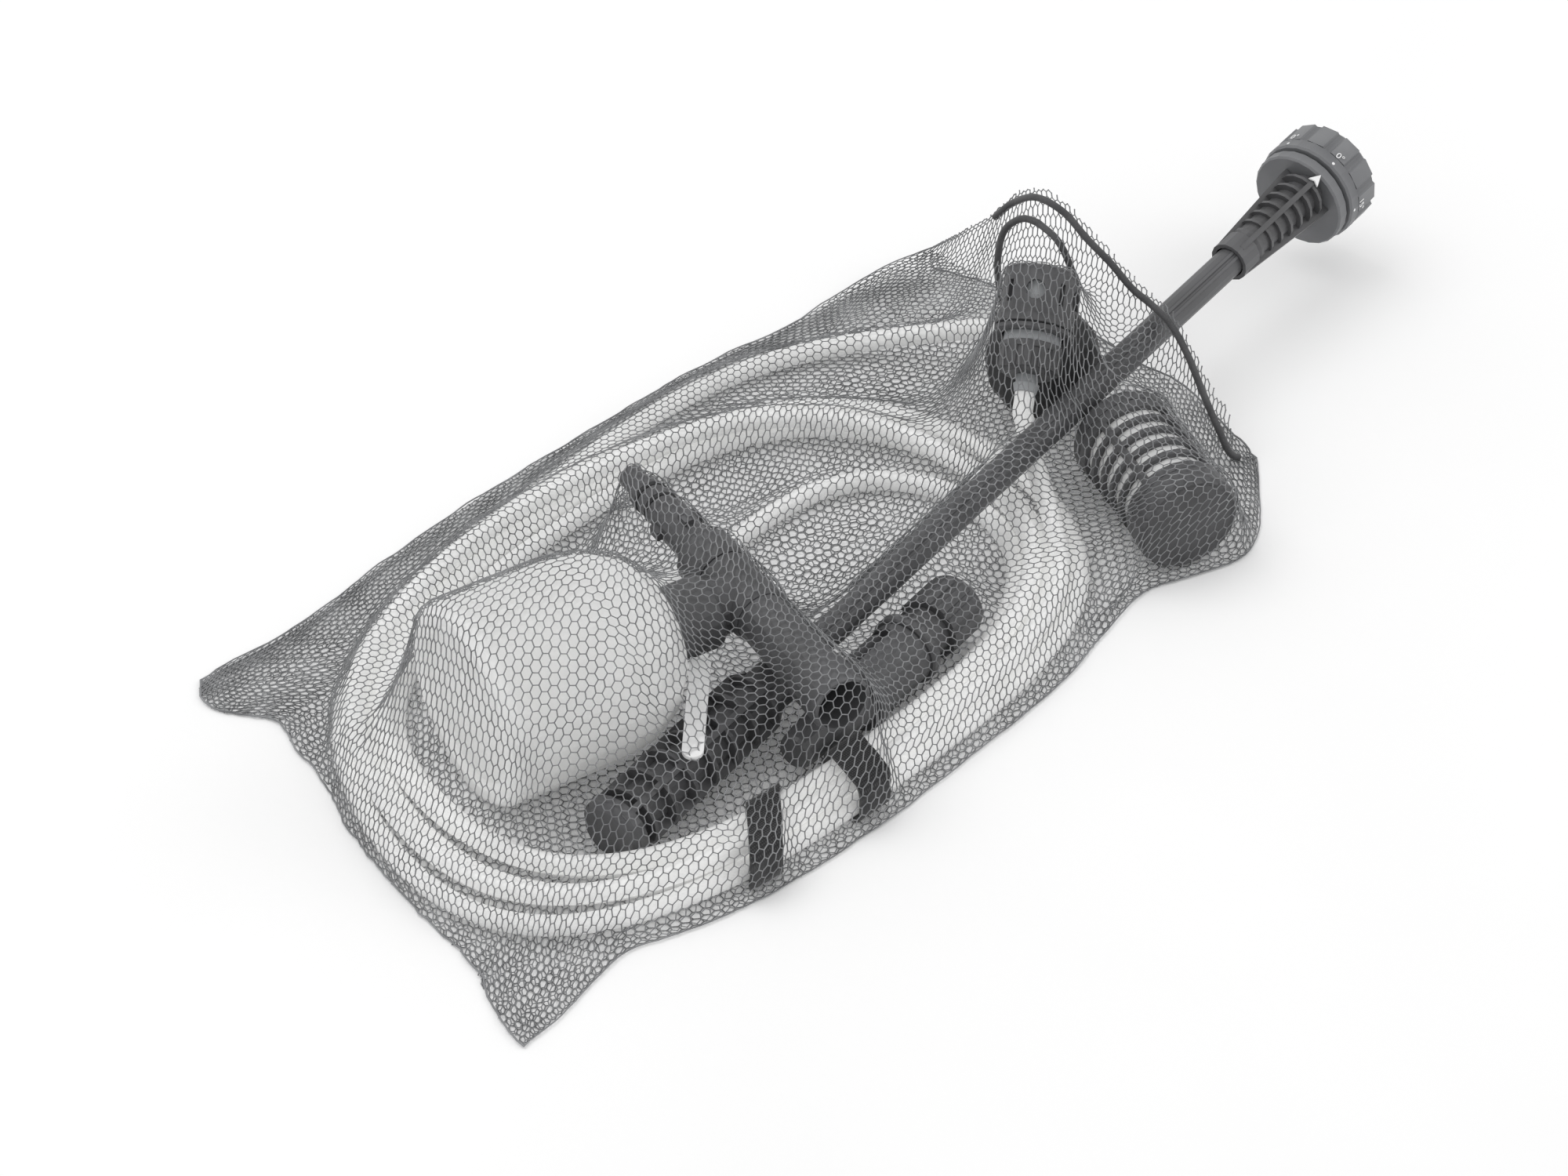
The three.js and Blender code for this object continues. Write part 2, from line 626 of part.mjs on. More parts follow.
function makeCoupling() {
  const coupling = new THREE.Group();
  const nutStart = couplingTailLength + gap;
  const nutEnd = nutStart + couplingNutLength;
  const sleeveStart = nutEnd + gap + couplingTravel;
  const ringEnd = sleeveStart + couplingRingLength;
  const sleeveEnd = ringEnd + couplingSleeveLength;
  const bore = couplingSleeveRadius - couplingSleeveWall;

  const tailBore = couplingTailRadius - 2.5;
  const coreRadius = bore - 1.2;
  const coreBore = coreRadius - 3.2;
  const coreFloor = ringEnd + 4;
  const coreEnd = sleeveEnd - 5;
  const tail = turned([
    [tailBore, 0], [couplingTailRadius - 1, 0], [couplingTailRadius, 4], [couplingTailRadius - 1, 4],
    [couplingTailRadius - 1, nutEnd + gap],
    [coreRadius, nutEnd + gap], [coreRadius, coreEnd], [coreBore, coreEnd], [coreBore, coreFloor],
    [tailBore, coreFloor - 2], [tailBore, 0],
  ]);
  addPiece(coupling, 'coupling_tail', tail, greyPlastic);

  const nutBore = couplingTailRadius - 1 + gap;
  const nut = drawn(paddedCircle(couplingNutRadius - 1, 1, 12, 0.5), nutStart + 2, nutEnd - 2)
    .add(cylinder(couplingNutRadius, nutEnd - 3, nutEnd))
    .add(turned([
      [0, nutStart], [couplingNutRadius - 3, nutStart], [couplingNutRadius - 1, nutStart + 2.5],
      [0, nutStart + 2.5],
    ]))
    .subtract(cylinder(nutBore, nutStart - 1, nutEnd + 1, 20));
  addPiece(coupling, 'coupling_union_nut', nut, darkPlastic);

  let sleeve = turned([
    [bore, sleeveStart], [couplingRingRadius - 1, sleeveStart], [couplingRingRadius, sleeveStart + 1],
    [couplingRingRadius, sleeveStart + 3], [couplingSleeveRadius, sleeveStart + 3.6],
    [couplingRingRadius, sleeveStart + 4.2], [couplingRingRadius, ringEnd], [couplingSleeveRadius, ringEnd],
    [couplingSleeveRadius, sleeveEnd - 1], [couplingSleeveRadius - 1, sleeveEnd], [bore, sleeveEnd],
    [bore, sleeveStart],
  ], 20);
  const claws = 4;
  for (let i = 0; i < claws; i += 1) {
    const turn = (i * 360) / claws;
    const window = cylinder(couplingWindowRadius, bore - 3, couplingRingRadius + 2, 10)
      .rotate([0, 90, turn]).translate([0, 0, sleeveEnd - 13]);
    const slot = box(8, 3, couplingSleeveLength - 14, couplingSleeveRadius, 0, 0)
      .rotate([0, 0, turn + 45]).translate([0, 0, ringEnd + (couplingSleeveLength - 14) / 2 + 6]);
    sleeve = sleeve.subtract(window).subtract(slot);
  }
  addPiece(coupling, 'coupling_sleeve', sleeve, darkPlastic);

  const sealWire = 1.4;
  const sealStart = coreFloor + gap;
  const seal = ring(coreBore - 2.4 * sealWire, coreBore - gap, sealStart, sealStart + 2 * sealWire, 16);
  addPiece(coupling, 'coupling_seal', seal, blackRubber);
  return coupling;
}

// ---------------------------------------------------------------- hose and its straps

const coilBase = floorHeight + strapThickness + gap;
// The bundle of turns seen from above: its outer and its inner edge, counter-clockwise.
const coilOuter = [
  [180, -10], [178, 30], [165, 65], [140, 98], [105, 122], [68, 136], [0, 140], [-51, 138],
  [-110, 128], [-166, 106], [-200, 80], [-215, 55], [-226, 32], [-237, 5], [-243, -20], [-246, -45],
  [-240, -80], [-215, -104], [-196, -113], [-178, -120], [-149, -128.5], [-112, -133.5], [-72, -135],
  [-29, -135], [14, -134.5], [58, -132], [90, -127], [118, -117], [140, -103], [160, -80], [172, -50],
];
const coilInner = [
  [138, 7], [118, 72], [69, 99], [-33, 103], [-135, 87], [-180, 54], [-192, -13], [-172, -78],
  [-123, -104], [-21, -107.5], [81, -90], [126, -60],
];

// Points along a closed edge, moved inwards by inset.
function edgePoints(edge, inset, count) {
  const corners = edge.map(([x, y]) => new THREE.Vector3(x, y, 0));
  const curve = new THREE.CatmullRomCurve3(corners, true, 'centripetal');
  return Array.from({ length: count }, (unused, i) => {
    const { x, y } = curve.getPointAt(i / count);
    const along = curve.getTangentAt(i / count);
    return new THREE.Vector2(x - along.y * inset, y + along.x * inset);
  });
}

// Where the hose leaves the coil: to the strainer, to the coupling, and the loose turn inside.
const strainerHose = [
  [10, 134, 9.5], [50, 139, 8.6], [92, 140, 7.6], [132, 137, 6.7], [168, 124, 6.6], [196, 105, 7.4],
  [214, 84, 12], [222.5, 65, 20], [224, 50, 27.8], [223.1, 39.8, 30.2],
];
const floatToNeckHose = [
  [221, -17.7, 30.2], [220.4, -24, 29.6], [217.6, -29.6, 28.2], [214.15, -37.65, 27.65],
];
const couplingHose = [
  [176.8, -17.3, 50.8], [169.1, -22.5, 43.2], [163, -25.5, 33.5], [158, -30.5, 27.4],
  [154, -36.5, 22.6], [150.5, -45, 20.4], [147, -54, 19.6],
];
const looseTurn = [
  [-150, 103, 12], [-126, 97, 9], [-100, 85, 6.8], [-74, 68, 6.5], [-48, 50, 6.5], [-22, 38, 6.5],
  [6, 36, 6.5], [34, 42, 6.5], [62, 48, 6.5], [90, 49, 6.5], [116, 40, 6.5], [134, 22, 6.5],
  [142, 0, 6.6], [143.5, -20, 7.4], [143, -40, 9],
];

function makeHose(parent) {
  const bevel = 5;
  const shape = new THREE.Shape(edgePoints(coilOuter, bevel, 44));
  shape.holes.push(new THREE.Path(edgePoints(coilInner, -bevel, 32)));
  const depth = coilHeight - 2 * bevel;
  const drawnOut = { depth, bevelThickness: bevel, bevelSize: bevel, bevelSegments: 1 };
  let coil = toSolid(new THREE.ExtrudeGeometry(shape, drawnOut).translate(0, 0, coilBase + bevel));
  const leads = [
    ['hose_strainer_end', strainerHose, 18],
    ['hose_float_end', floatToNeckHose, 4],
    ['hose_coupling_end', couplingHose, 10],
    ['hose_inner_turn', looseTurn, 22],
  ];
  for (const [name, route, steps] of leads) {
    coil = coil.subtract(tubeAlong(route, hoseRadius + gap, 8, steps));
    addPiece(parent, name, tubeAlong(route, hoseRadius, 8, steps), clearHose);
  }
  addPiece(parent, 'hose_coil', coil, clearHose);
}

function strapLoop(width, height) {
  const corner = 6;
  const outline = (grow, Kind) => {
    const path = new Kind();
    const w = width / 2 + grow;
    const h = height / 2 + grow;
    const r = corner + grow;
    path.absarc(w - r, -h + r, r, -90 * degrees, 0, false);
    path.absarc(w - r, h - r, r, 0, 90 * degrees, false);
    path.absarc(-w + r, h - r, r, 90 * degrees, 180 * degrees, false);
    path.absarc(-w + r, -h + r, r, 180 * degrees, 270 * degrees, false);
    path.closePath();
    return path;
  };
  const shape = outline(strapThickness, THREE.Shape);
  shape.holes.push(outline(0, THREE.Path));
  return drawn(shape, -strapWidth / 2, strapWidth / 2, 3);
}

// A strap round both layers of turns at [x, y]. It runs aslant over them, sheared by slant.
function makeStrap(parent, name, x, y, slant) {
  const spot = new THREE.Vector2(x, y);
  const nearest = (edge) => {
    const points = edgePoints(edge, 0, 400);
    const distances = points.map((point) => point.distanceTo(spot));
    const found = distances.indexOf(Math.min(...distances));
    return [points[found], points[(found + 1) % points.length]];
  };
  const [outer, outerNext] = nearest(coilOuter);
  const [inner] = nearest(coilInner);
  const heading = Math.atan2(outerNext.y - outer.y, outerNext.x - outer.x);
  const bundle = Math.abs((outer.x - inner.x) * Math.sin(heading) - (outer.y - inner.y) * Math.cos(heading));
  const holder = new THREE.Group();
  holder.position.set((outer.x + inner.x) / 2, (outer.y + inner.y) / 2, coilBase + coilHeight / 2);
  holder.rotation.z = heading + 90 * degrees;
  const strap = addPiece(holder, name, strapLoop(bundle + 2 * strapEase, coilHeight + 2 * gap), webbing);
  strap.geometry.applyMatrix4(new THREE.Matrix4().set(1, 0, 0, 0, 0, 1, 0, 0, slant, 0, 1, 0, 0, 0, 0, 1));
  strap.rotation.x = 90 * degrees;
  parent.add(holder);
}

// ---------------------------------------------------------------- laying out the contents

const contents = new THREE.Group();

const strainerSpot = [214, -38, floorHeight + strainerRadius + strainerCapLip];
const strainer = makeStrainer();
lay(strainer, strainerSpot, -112.6 * degrees, 0, 40 * degrees);
const float = makeFloat();
lay(float, [222, 11, floorHeight + floatRadius], -92 * degrees, 0);

// The lance lies on its rear end and on the strainer neck.
const lanceHeading = 6.2 * degrees;
const lanceRoll = 30 * degrees;
const lanceRear = [-162, -72.5, floorHeight + lanceRearRadius];
const restHeight = strainerSpot[2] + strainerNeckRadius + gap + tubeRadius;
const restDistance = (strainerSpot[0] - lanceRear[0]) / Math.cos(lanceHeading);
const lancePitch = Math.atan2(restHeight - lanceRear[2], restDistance);
const lance = makeLance();
lay(lance, lanceRear, lanceHeading, lancePitch, lanceRoll);

const bottleHeading = -15 * degrees;
const bottlePitch = 1.2 * degrees;
const bottleBase = [-173, 10.3, floorHeight + bottleRadius];
const bottleSet = makeBottle();
lay(bottleSet, bottleBase, bottleHeading, bottlePitch);

// The tab hangs beside the cap and lies over the lance: it follows the shoulder and keeps its height.
bottleSet.updateMatrixWorld(true);
const shoulder = new THREE.Vector3(0, 0, bottleShoulderEnd).applyMatrix4(bottleSet.matrixWorld);
const tab = makeTab();
const tabHeight = 45;
lay(tab, [shoulder.x + 2.134318, shoulder.y - 21.871198, tabHeight], -139 * degrees, -4.5 * degrees);

// The foam nozzle sits square on the bottle cap: its branch points back along the bottle axis.
const foam = makeFoamNozzle();
function seatFoam() {
  bottleSet.updateMatrixWorld(true);
  const centre = new THREE.Vector3(0, 0, teeOffset).applyMatrix4(bottleSet.matrixWorld);
  const ahead = new THREE.Vector3(0, 0, 1).transformDirection(bottleSet.matrixWorld);
  const side = new THREE.Vector3(ahead.y, -ahead.x, 0).normalize();
  const across = new THREE.Vector3().crossVectors(ahead, side);
  foam.quaternion.setFromRotationMatrix(new THREE.Matrix4().makeBasis(across, ahead, side));
  foam.position.copy(centre).addScaledVector(side, -teeCentre);
}
seatFoam();

const adapter = makeAdapter();
lay(adapter, [-64.3, -94.7, floorHeight + adapterRingRadius], 8.5 * degrees, 0, -35 * degrees);

const coupling = makeCoupling();
lay(coupling, [177, -17.2, 51], 33.7 * degrees, 37.8 * degrees);

contents.add(strainer, float, lance, bottleSet, tab, foam, adapter, coupling);
makeHose(contents);
makeStrap(contents, 'near_strap', -111, -119, 0.8);
makeStrap(contents, 'far_strap', -51, -122, 0.3);

// ---------------------------------------------------------------- bag

// The flat outline of the bag, in four sides that meet at its corners.
const closedNear = [-272, -131];
const closedFar = [-213, 158];
const mouthNear = [265, -92];
const mouthFar = [268, 121];
const closedSide = [
  closedNear, [-264, -101], [-258, -86], [-253.5, -68], [-252, -45], [-249, -24], [-244, -2],
  [-237, 18], [-228, 38], [-220, 58], [-212, 80], [-206, 104], [-207, 130], closedFar,
];
const nearSide = [
  closedNear, [-243, -127], [-216, -121.5], [-196, -119.5], [-178, -126], [-149, -135], [-112, -141],
  [-72, -143], [-29, -142.5], [14, -140], [58, -138], [90, -133], [118, -126], [138, -121.5],
  [156, -122.5], [180, -132.5], [204, -141], [226, -134], [246, -114], mouthNear,
];
const farSide = [
  closedFar, [-182, 158], [-136, 152], [-70, 156], [0, 158], [70, 158], [132, 155], [184, 145],
  [232, 131], mouthFar,
];
const lip = [
  [265, -92, 1.3], [253, -86, 5], [252, -77, 17], [254, -64, 32], [256, -51, 48], [258, -38, 58],
  [261, -23, 60], [263, -9, 61], [266, 8, 66], [269, 27, 70], [272, 45, 75], [274, 65, 73],
  [276, 83, 59], [276, 97, 38], [268, 121, 1.3],
];
const hem = [
  mouthNear, [283, -78], [288, -40], [281, 0], [284, 40], [282, 84], mouthFar,
];

function smooth(points) {
  const corners = points.map(([x, y, z]) => new THREE.Vector3(x, y, z ?? 0));
  const curve = new THREE.CatmullRomCurve3(corners, false, 'centripetal');
  return (share) => curve.getPointAt(share);
}

const columns = 32;
const rows = 18;

// Rows and columns are closer together near the edges, where the netting drops to the ground.
function graded(index, count, ease) {
  const t = index / count;
  return t - (ease / (2 * Math.PI)) * Math.sin(2 * Math.PI * t);
}

function bagGrid() {
  const ends = [smooth(closedSide), smooth(lip)];
  const sides = [smooth(nearSide), smooth(farSide)];
  const corners = [ends[0](0), ends[1](0), ends[0](1), ends[1](1)];
  const grid = [];
  for (let i = 0; i <= columns; i += 1) {
    const u = graded(i, columns, 0.75);
    const column = [];
    for (let j = 0; j <= rows; j += 1) {
      const v = graded(j, rows, 0.8);
      const point = sides[0](u).multiplyScalar(1 - v).addScaledVector(sides[1](u), v);
      point.addScaledVector(ends[0](v), 1 - u).addScaledVector(ends[1](v), u);
      point.addScaledVector(corners[0], -(1 - u) * (1 - v)).addScaledVector(corners[1], -u * (1 - v));
      point.addScaledVector(corners[2], -(1 - u) * v).addScaledVector(corners[3], -u * v);
      column.push([point.x, point.y]);
    }
    grid.push(column);
  }
  return grid;
}

// The highest point of the contents over each square of the ground.
function contentsHeights(square) {
  const heights = new Map();
  const a = new THREE.Vector3();
  const b = new THREE.Vector3();
  const c = new THREE.Vector3();
  contents.updateMatrixWorld(true);
  contents.traverse((piece) => {
    if (!piece.isMesh) return;
    const points = piece.geometry.attributes.position;
    const index = piece.geometry.index;
    for (let i = 0; i < index.count; i += 3) {
      [a, b, c].forEach((corner, k) => {
        corner.fromBufferAttribute(points, index.getX(i + k)).applyMatrix4(piece.matrixWorld);
      });
      const longest = Math.max(a.distanceTo(b), b.distanceTo(c), c.distanceTo(a));
      const steps = Math.ceil(longest / square);
      for (let p = 0; p <= steps; p += 1) {
        for (let q = 0; q <= steps - p; q += 1) {
          const [s, t] = [p / steps, q / steps];
          const x = a.x + (b.x - a.x) * s + (c.x - a.x) * t;
          const y = a.y + (b.y - a.y) * s + (c.y - a.y) * t;
          const z = a.z + (b.z - a.z) * s + (c.z - a.z) * t;
          const key = `${Math.floor(x / square)},${Math.floor(y / square)}`;
          if (!(heights.get(key) > z)) heights.set(key, z);
        }
      }
    }
  });
  return heights;
}

// Heights of the netting: stretched flat between its edges and lifted by what lies under it.
function drapedHeights(grid) {
  const square = 2.5;
  const contentsTop = contentsHeights(square);
  const lipAt = smooth(lip);
  const low = grid.map((column) => column.map(() => floorHeight));
  const clearance = 0.6;
  for (let i = 0; i < columns; i += 1) {
    for (let j = 0; j < rows; j += 1) {
      const cell = [[i, j], [i + 1, j], [i, j + 1], [i + 1, j + 1]];
      const xs = cell.map(([p, q]) => grid[p][q][0]);
      const ys = cell.map(([p, q]) => grid[p][q][1]);
      const lastX = Math.floor(Math.max(...xs) / square);
      const lastY = Math.floor(Math.max(...ys) / square);
      let top = 0;
      for (let x = Math.floor(Math.min(...xs) / square); x <= lastX; x += 1) {
        for (let y = Math.floor(Math.min(...ys) / square); y <= lastY; y += 1) {
          top = Math.max(top, contentsTop.get(`${x},${y}`) ?? 0);
        }
      }
      for (const [p, q] of cell) low[p][q] = Math.max(low[p][q], top + clearance);
    }
  }
  const fixed = (i, j) => i === 0 || i === columns || j === 0 || j === rows;
  const height = grid.map((column, i) => column.map((spot, j) => {
    if (i === columns) return lipAt(graded(j, rows, 0.8)).z;
    return fixed(i, j) ? floorHeight : low[i][j];
  }));
  const sweeps = 260;
  const near = [[1, 0], [-1, 0], [0, 1], [0, -1]];
  for (let sweep = 0; sweep < sweeps; sweep += 1) {
    for (let i = 1; i < columns; i += 1) {
      for (let j = 1; j < rows; j += 1) {
        let sum = 0;
        let weights = 0;
        for (const [di, dj] of near) {
          const [x, y] = grid[i + di][j + dj];
          const weight = 1 / Math.hypot(x - grid[i][j][0], y - grid[i][j][1]);
          sum += weight * height[i + di][j + dj];
          weights += weight;
        }
        height[i][j] = Math.max(low[i][j], sum / weights);
      }
    }
  }
  return height;
}

// A sheet with an upper and a lower face over the grid, closed along its four edges.
function sheetSolid(grid, height, thickness) {
  const points = [];
  for (const lift of [0, thickness]) {
    grid.forEach((column, i) => column.forEach(([x, y], j) => points.push(x, y, height[i][j] + lift)));
  }
  const layer = (columns + 1) * (rows + 1);
  const at = (i, j, upper) => i * (rows + 1) + j + upper * layer;
  const faces = [];
  for (let i = 0; i < columns; i += 1) {
    for (let j = 0; j < rows; j += 1) {
      const [a, b, c, d] = [[i, j], [i + 1, j], [i + 1, j + 1], [i, j + 1]];
      faces.push(at(...a, 1), at(...b, 1), at(...c, 1), at(...a, 1), at(...c, 1), at(...d, 1));
      faces.push(at(...a, 0), at(...c, 0), at(...b, 0), at(...a, 0), at(...d, 0), at(...c, 0));
    }
  }
  const rim = [];
  for (let i = 0; i < columns; i += 1) rim.push([i, 0]);
  for (let j = 0; j < rows; j += 1) rim.push([columns, j]);
  for (let i = columns; i > 0; i -= 1) rim.push([i, rows]);
  for (let j = rows; j > 0; j -= 1) rim.push([0, j]);
  rim.forEach((here, k) => {
    const next = rim[(k + 1) % rim.length];
    faces.push(at(...here, 0), at(...next, 0), at(...next, 1));
    faces.push(at(...here, 0), at(...next, 1), at(...here, 1));
  });
  const geometry = new THREE.BufferGeometry();
  geometry.setAttribute('position', new THREE.BufferAttribute(new Float32Array(points), 3));
  geometry.setIndex(faces);
  return toSolid(geometry);
}

function makeBottomPanel() {
  const outline = [
    ...sampled(nearSide, 24), ...sampled(hem, 14), ...sampled([...farSide].reverse(), 20),
    ...sampled([...closedSide].reverse(), 14),
  ];
  return drawn(new THREE.Shape(outline), 0, netThickness);
}

function sampled(points, count) {
  const along = smooth(points);
  return Array.from({ length: count }, (unused, i) => {
    const { x, y } = along(i / count);
    return new THREE.Vector2(x, y);
  });
}

// The drawstring rides just outside the upper lip; its free end hangs inside as a loop.
const stringOffset = drawstringRadius + 1.2;
const lipString = lip.slice(1, -1).map(([x, y, z]) => [x + stringOffset, y, z + netThickness / 2]);
const stringLoop = [
  [262, 68, 54], [261, 73, 49], [260, 75, 42], [260, 74, 32], [259, 71, 19], [258, 63, 7.5],
  [257, 52, 3.4], [257, 42, 7.5], [257, 36, 20], [258, 35, 32], [260, 38, 42], [261, 44, 49],
  [262, 51, 53],
];

const bag = new THREE.Group();
const grid = bagGrid();
addPiece(bag, 'bag_bottom_panel', makeBottomPanel(), netting);
addPiece(bag, 'bag_top_panel', sheetSolid(grid, drapedHeights(grid), netThickness), netting);
addPiece(bag, 'drawstring', tubeAlong(lipString, drawstringRadius, 8, 18), webbing);
addPiece(bag, 'drawstring_loop', tubeAlong(stringLoop, drawstringRadius, 8, 20), webbing);

// ---------------------------------------------------------------- standing on the ground, centred

const cordPieces = [
  'hose_', 'float', 'strainer_', 'coupling_', 'near_strap', 'far_strap', 'drawstring_loop',
];

function centred() {
  const group = new THREE.Group();
  group.add(contents, bag);
  group.updateMatrixWorld(true);
  const bounds = new THREE.Box3();
  group.traverse((piece) => {
    const onCord = cordPieces.some((start) => piece.name.startsWith(start));
    if (piece.isMesh && !onCord) bounds.expandByObject(piece, true);
  });
  const middle = bounds.getCenter(new THREE.Vector3());
  group.position.set(-middle.x, -middle.y, -bounds.min.z);
  return group;
}

const whole = new THREE.Group();
whole.add(centred());

export default whole;
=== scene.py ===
# Mesh drawstring bag with the accessories of a pressure cleaner: how it looks.
# Lengths in the lists below are millimetres in the bag's own frame, as in part.mjs.
# mm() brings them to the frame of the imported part, in metres.

import json
import math

import bmesh
import bpy
import numpy as np
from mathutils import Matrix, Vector
from mathutils.bvhtree import BVHTree

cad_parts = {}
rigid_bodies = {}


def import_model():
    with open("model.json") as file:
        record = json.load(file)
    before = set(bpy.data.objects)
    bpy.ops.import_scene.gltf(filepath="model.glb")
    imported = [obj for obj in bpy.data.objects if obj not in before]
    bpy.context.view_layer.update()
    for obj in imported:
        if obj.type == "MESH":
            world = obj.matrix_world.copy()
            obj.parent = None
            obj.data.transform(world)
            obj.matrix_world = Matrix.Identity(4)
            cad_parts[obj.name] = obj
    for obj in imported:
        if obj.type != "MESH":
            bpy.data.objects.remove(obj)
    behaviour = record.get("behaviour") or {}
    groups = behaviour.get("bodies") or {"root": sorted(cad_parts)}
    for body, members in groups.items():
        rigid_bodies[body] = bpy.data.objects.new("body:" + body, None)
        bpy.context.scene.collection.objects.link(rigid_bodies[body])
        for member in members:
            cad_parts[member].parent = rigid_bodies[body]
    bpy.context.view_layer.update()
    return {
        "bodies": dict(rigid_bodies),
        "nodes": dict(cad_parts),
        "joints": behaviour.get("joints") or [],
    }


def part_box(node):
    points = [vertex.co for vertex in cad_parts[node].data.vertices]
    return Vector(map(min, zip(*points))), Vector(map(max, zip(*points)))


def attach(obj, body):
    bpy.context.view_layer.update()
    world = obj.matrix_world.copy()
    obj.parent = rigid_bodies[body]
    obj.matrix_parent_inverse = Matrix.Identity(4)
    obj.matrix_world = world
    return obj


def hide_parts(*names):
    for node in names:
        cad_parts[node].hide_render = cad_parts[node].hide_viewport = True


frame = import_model()
nodes = frame["nodes"]
rng = np.random.default_rng(7)


def middle(name):
    low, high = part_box(name)
    return (np.array(low) + np.array(high)) / 2


# Where the float lies in the bag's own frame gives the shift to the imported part's frame.
float_place = np.array([0.222, 0.011])
shift = np.array([*(middle("float")[:2] - float_place), 0.0])


def mm(points):
    return np.asarray(points, float) * 0.001 + shift


# ---------------------------------------------------------------- camera and light

heading = Vector((0.719, 0.695, 0)).normalized()
elevation = math.radians(40)
aim = Vector(mm([34, 6.8, 0]))
distance = 3.0
flat = math.cos(elevation)
view_line = Vector((heading.x * flat, heading.y * flat, -math.sin(elevation)))
camera_data = bpy.data.cameras.new("camera")
camera_data.lens = 144
camera_data.sensor_width = 36
camera_data.clip_end = 50
camera = bpy.data.objects.new("camera", camera_data)
camera.location = aim - distance * view_line
camera.rotation_euler = view_line.to_track_quat("-Z", "Y").to_euler()
bpy.context.collection.objects.link(camera)
bpy.context.scene.camera = camera
bpy.context.scene.view_settings.view_transform = "Standard"


def area_light(name, place, size, power):
    data = bpy.data.lights.new(name, "AREA")
    data.shape = "DISK"
    data.size = size
    data.energy = power
    light = bpy.data.objects.new(name, data)
    light.location = place
    light.rotation_euler = (aim - Vector(place)).to_track_quat("-Z", "Y").to_euler()
    bpy.context.collection.objects.link(light)


area_light("key_light", (-0.4, 0.9, 2.1), 1.8, 11)
area_light("side_light", (1.6, -1.3, 1.4), 1.6, 5.5)


# ---------------------------------------------------------------- materials

def linear(hex_colour):
    """The linear colour that an sRGB hex value stands for."""
    parts = [int(hex_colour[i:i + 2], 16) / 255 for i in (1, 3, 5)]
    return (*[c / 12.92 if c <= 0.04045 else ((c + 0.055) / 1.055) ** 2.4 for c in parts], 1)


def per_mm(size):
    """The scale of a texture whose marks are this many millimetres across."""
    return 1000 / size


def add_node(tree, kind, settings=(), **inputs):
    """A node with its settings; an input is a value or the socket that feeds it."""
    node = tree.nodes.new(kind)
    for key, value in dict(settings).items():
        setattr(node, key, value)
    for key, value in inputs.items():
        socket = node.inputs[key.replace("_", " ")]
        if isinstance(value, bpy.types.NodeSocket):
            tree.links.new(value, socket)
        else:
            socket.default_value = value
    return node


def new_material(name):
    material = bpy.data.materials.new(name)
    material.use_nodes = True
    tree = material.node_tree
    return material, tree, tree.nodes["Principled BSDF"]


def mixed(tree, share, dark, light, low=0.35, high=0.65):
    """A colour between two hex values, where share runs from low to high."""
    ramp = add_node(tree, "ShaderNodeValToRGB", Fac=share)
    ramp.color_ramp.elements[0].color = linear(dark)
    ramp.color_ramp.elements[0].position = low
    ramp.color_ramp.elements[1].color = linear(light)
    ramp.color_ramp.elements[1].position = high
    return ramp.outputs["Color"]


def moulded(
    name, dark, light, rough_low, rough_high, grain=1.111, depth=0.00002, wear_and_sheen="#6c6d6f", wear_and_sheen_amount=0.25,
):
    """Moulded plastic: slight flow marks, a fine spark-eroded grain and edges made paler, partly as wear and
    partly as a painted highlight.
    """
    material, tree, shader = new_material(name)
    place = add_node(tree, "ShaderNodeTexCoord").outputs["Object"]
    flow = add_node(tree, "ShaderNodeTexNoise", Vector=place, Scale=per_mm(26.32), Detail=5.0)
    fine = add_node(tree, "ShaderNodeTexNoise", Vector=place, Scale=per_mm(grain), Detail=2.0)
    flow, fine = flow.outputs["Fac"], fine.outputs["Fac"]
    edges = add_node(tree, "ShaderNodeNewGeometry").outputs["Pointiness"]
    # Convex edges turn paler: partly wear, partly a painted highlight.
    worn_and_sheen = add_node(tree, "ShaderNodeMapRange", Value=edges, From_Min=0.52, From_Max=0.62, To_Max=wear_and_sheen_amount)
    colour = add_node(tree, "ShaderNodeMix", {"data_type": "RGBA"})
    tree.links.new(worn_and_sheen.outputs["Result"], colour.inputs[0])
    tree.links.new(mixed(tree, flow, dark, light), colour.inputs[6])
    colour.inputs[7].default_value = linear(wear_and_sheen)
    tree.links.new(colour.outputs[2], shader.inputs["Base Color"])
    dull = add_node(tree, "ShaderNodeMapRange", Value=flow, To_Min=rough_low, To_Max=rough_high)
    tree.links.new(dull.outputs["Result"], shader.inputs["Roughness"])
    relief = add_node(tree, "ShaderNodeBump", Height=fine, Strength=0.5, Distance=depth)
    tree.links.new(relief.outputs["Normal"], shader.inputs["Normal"])
    return material


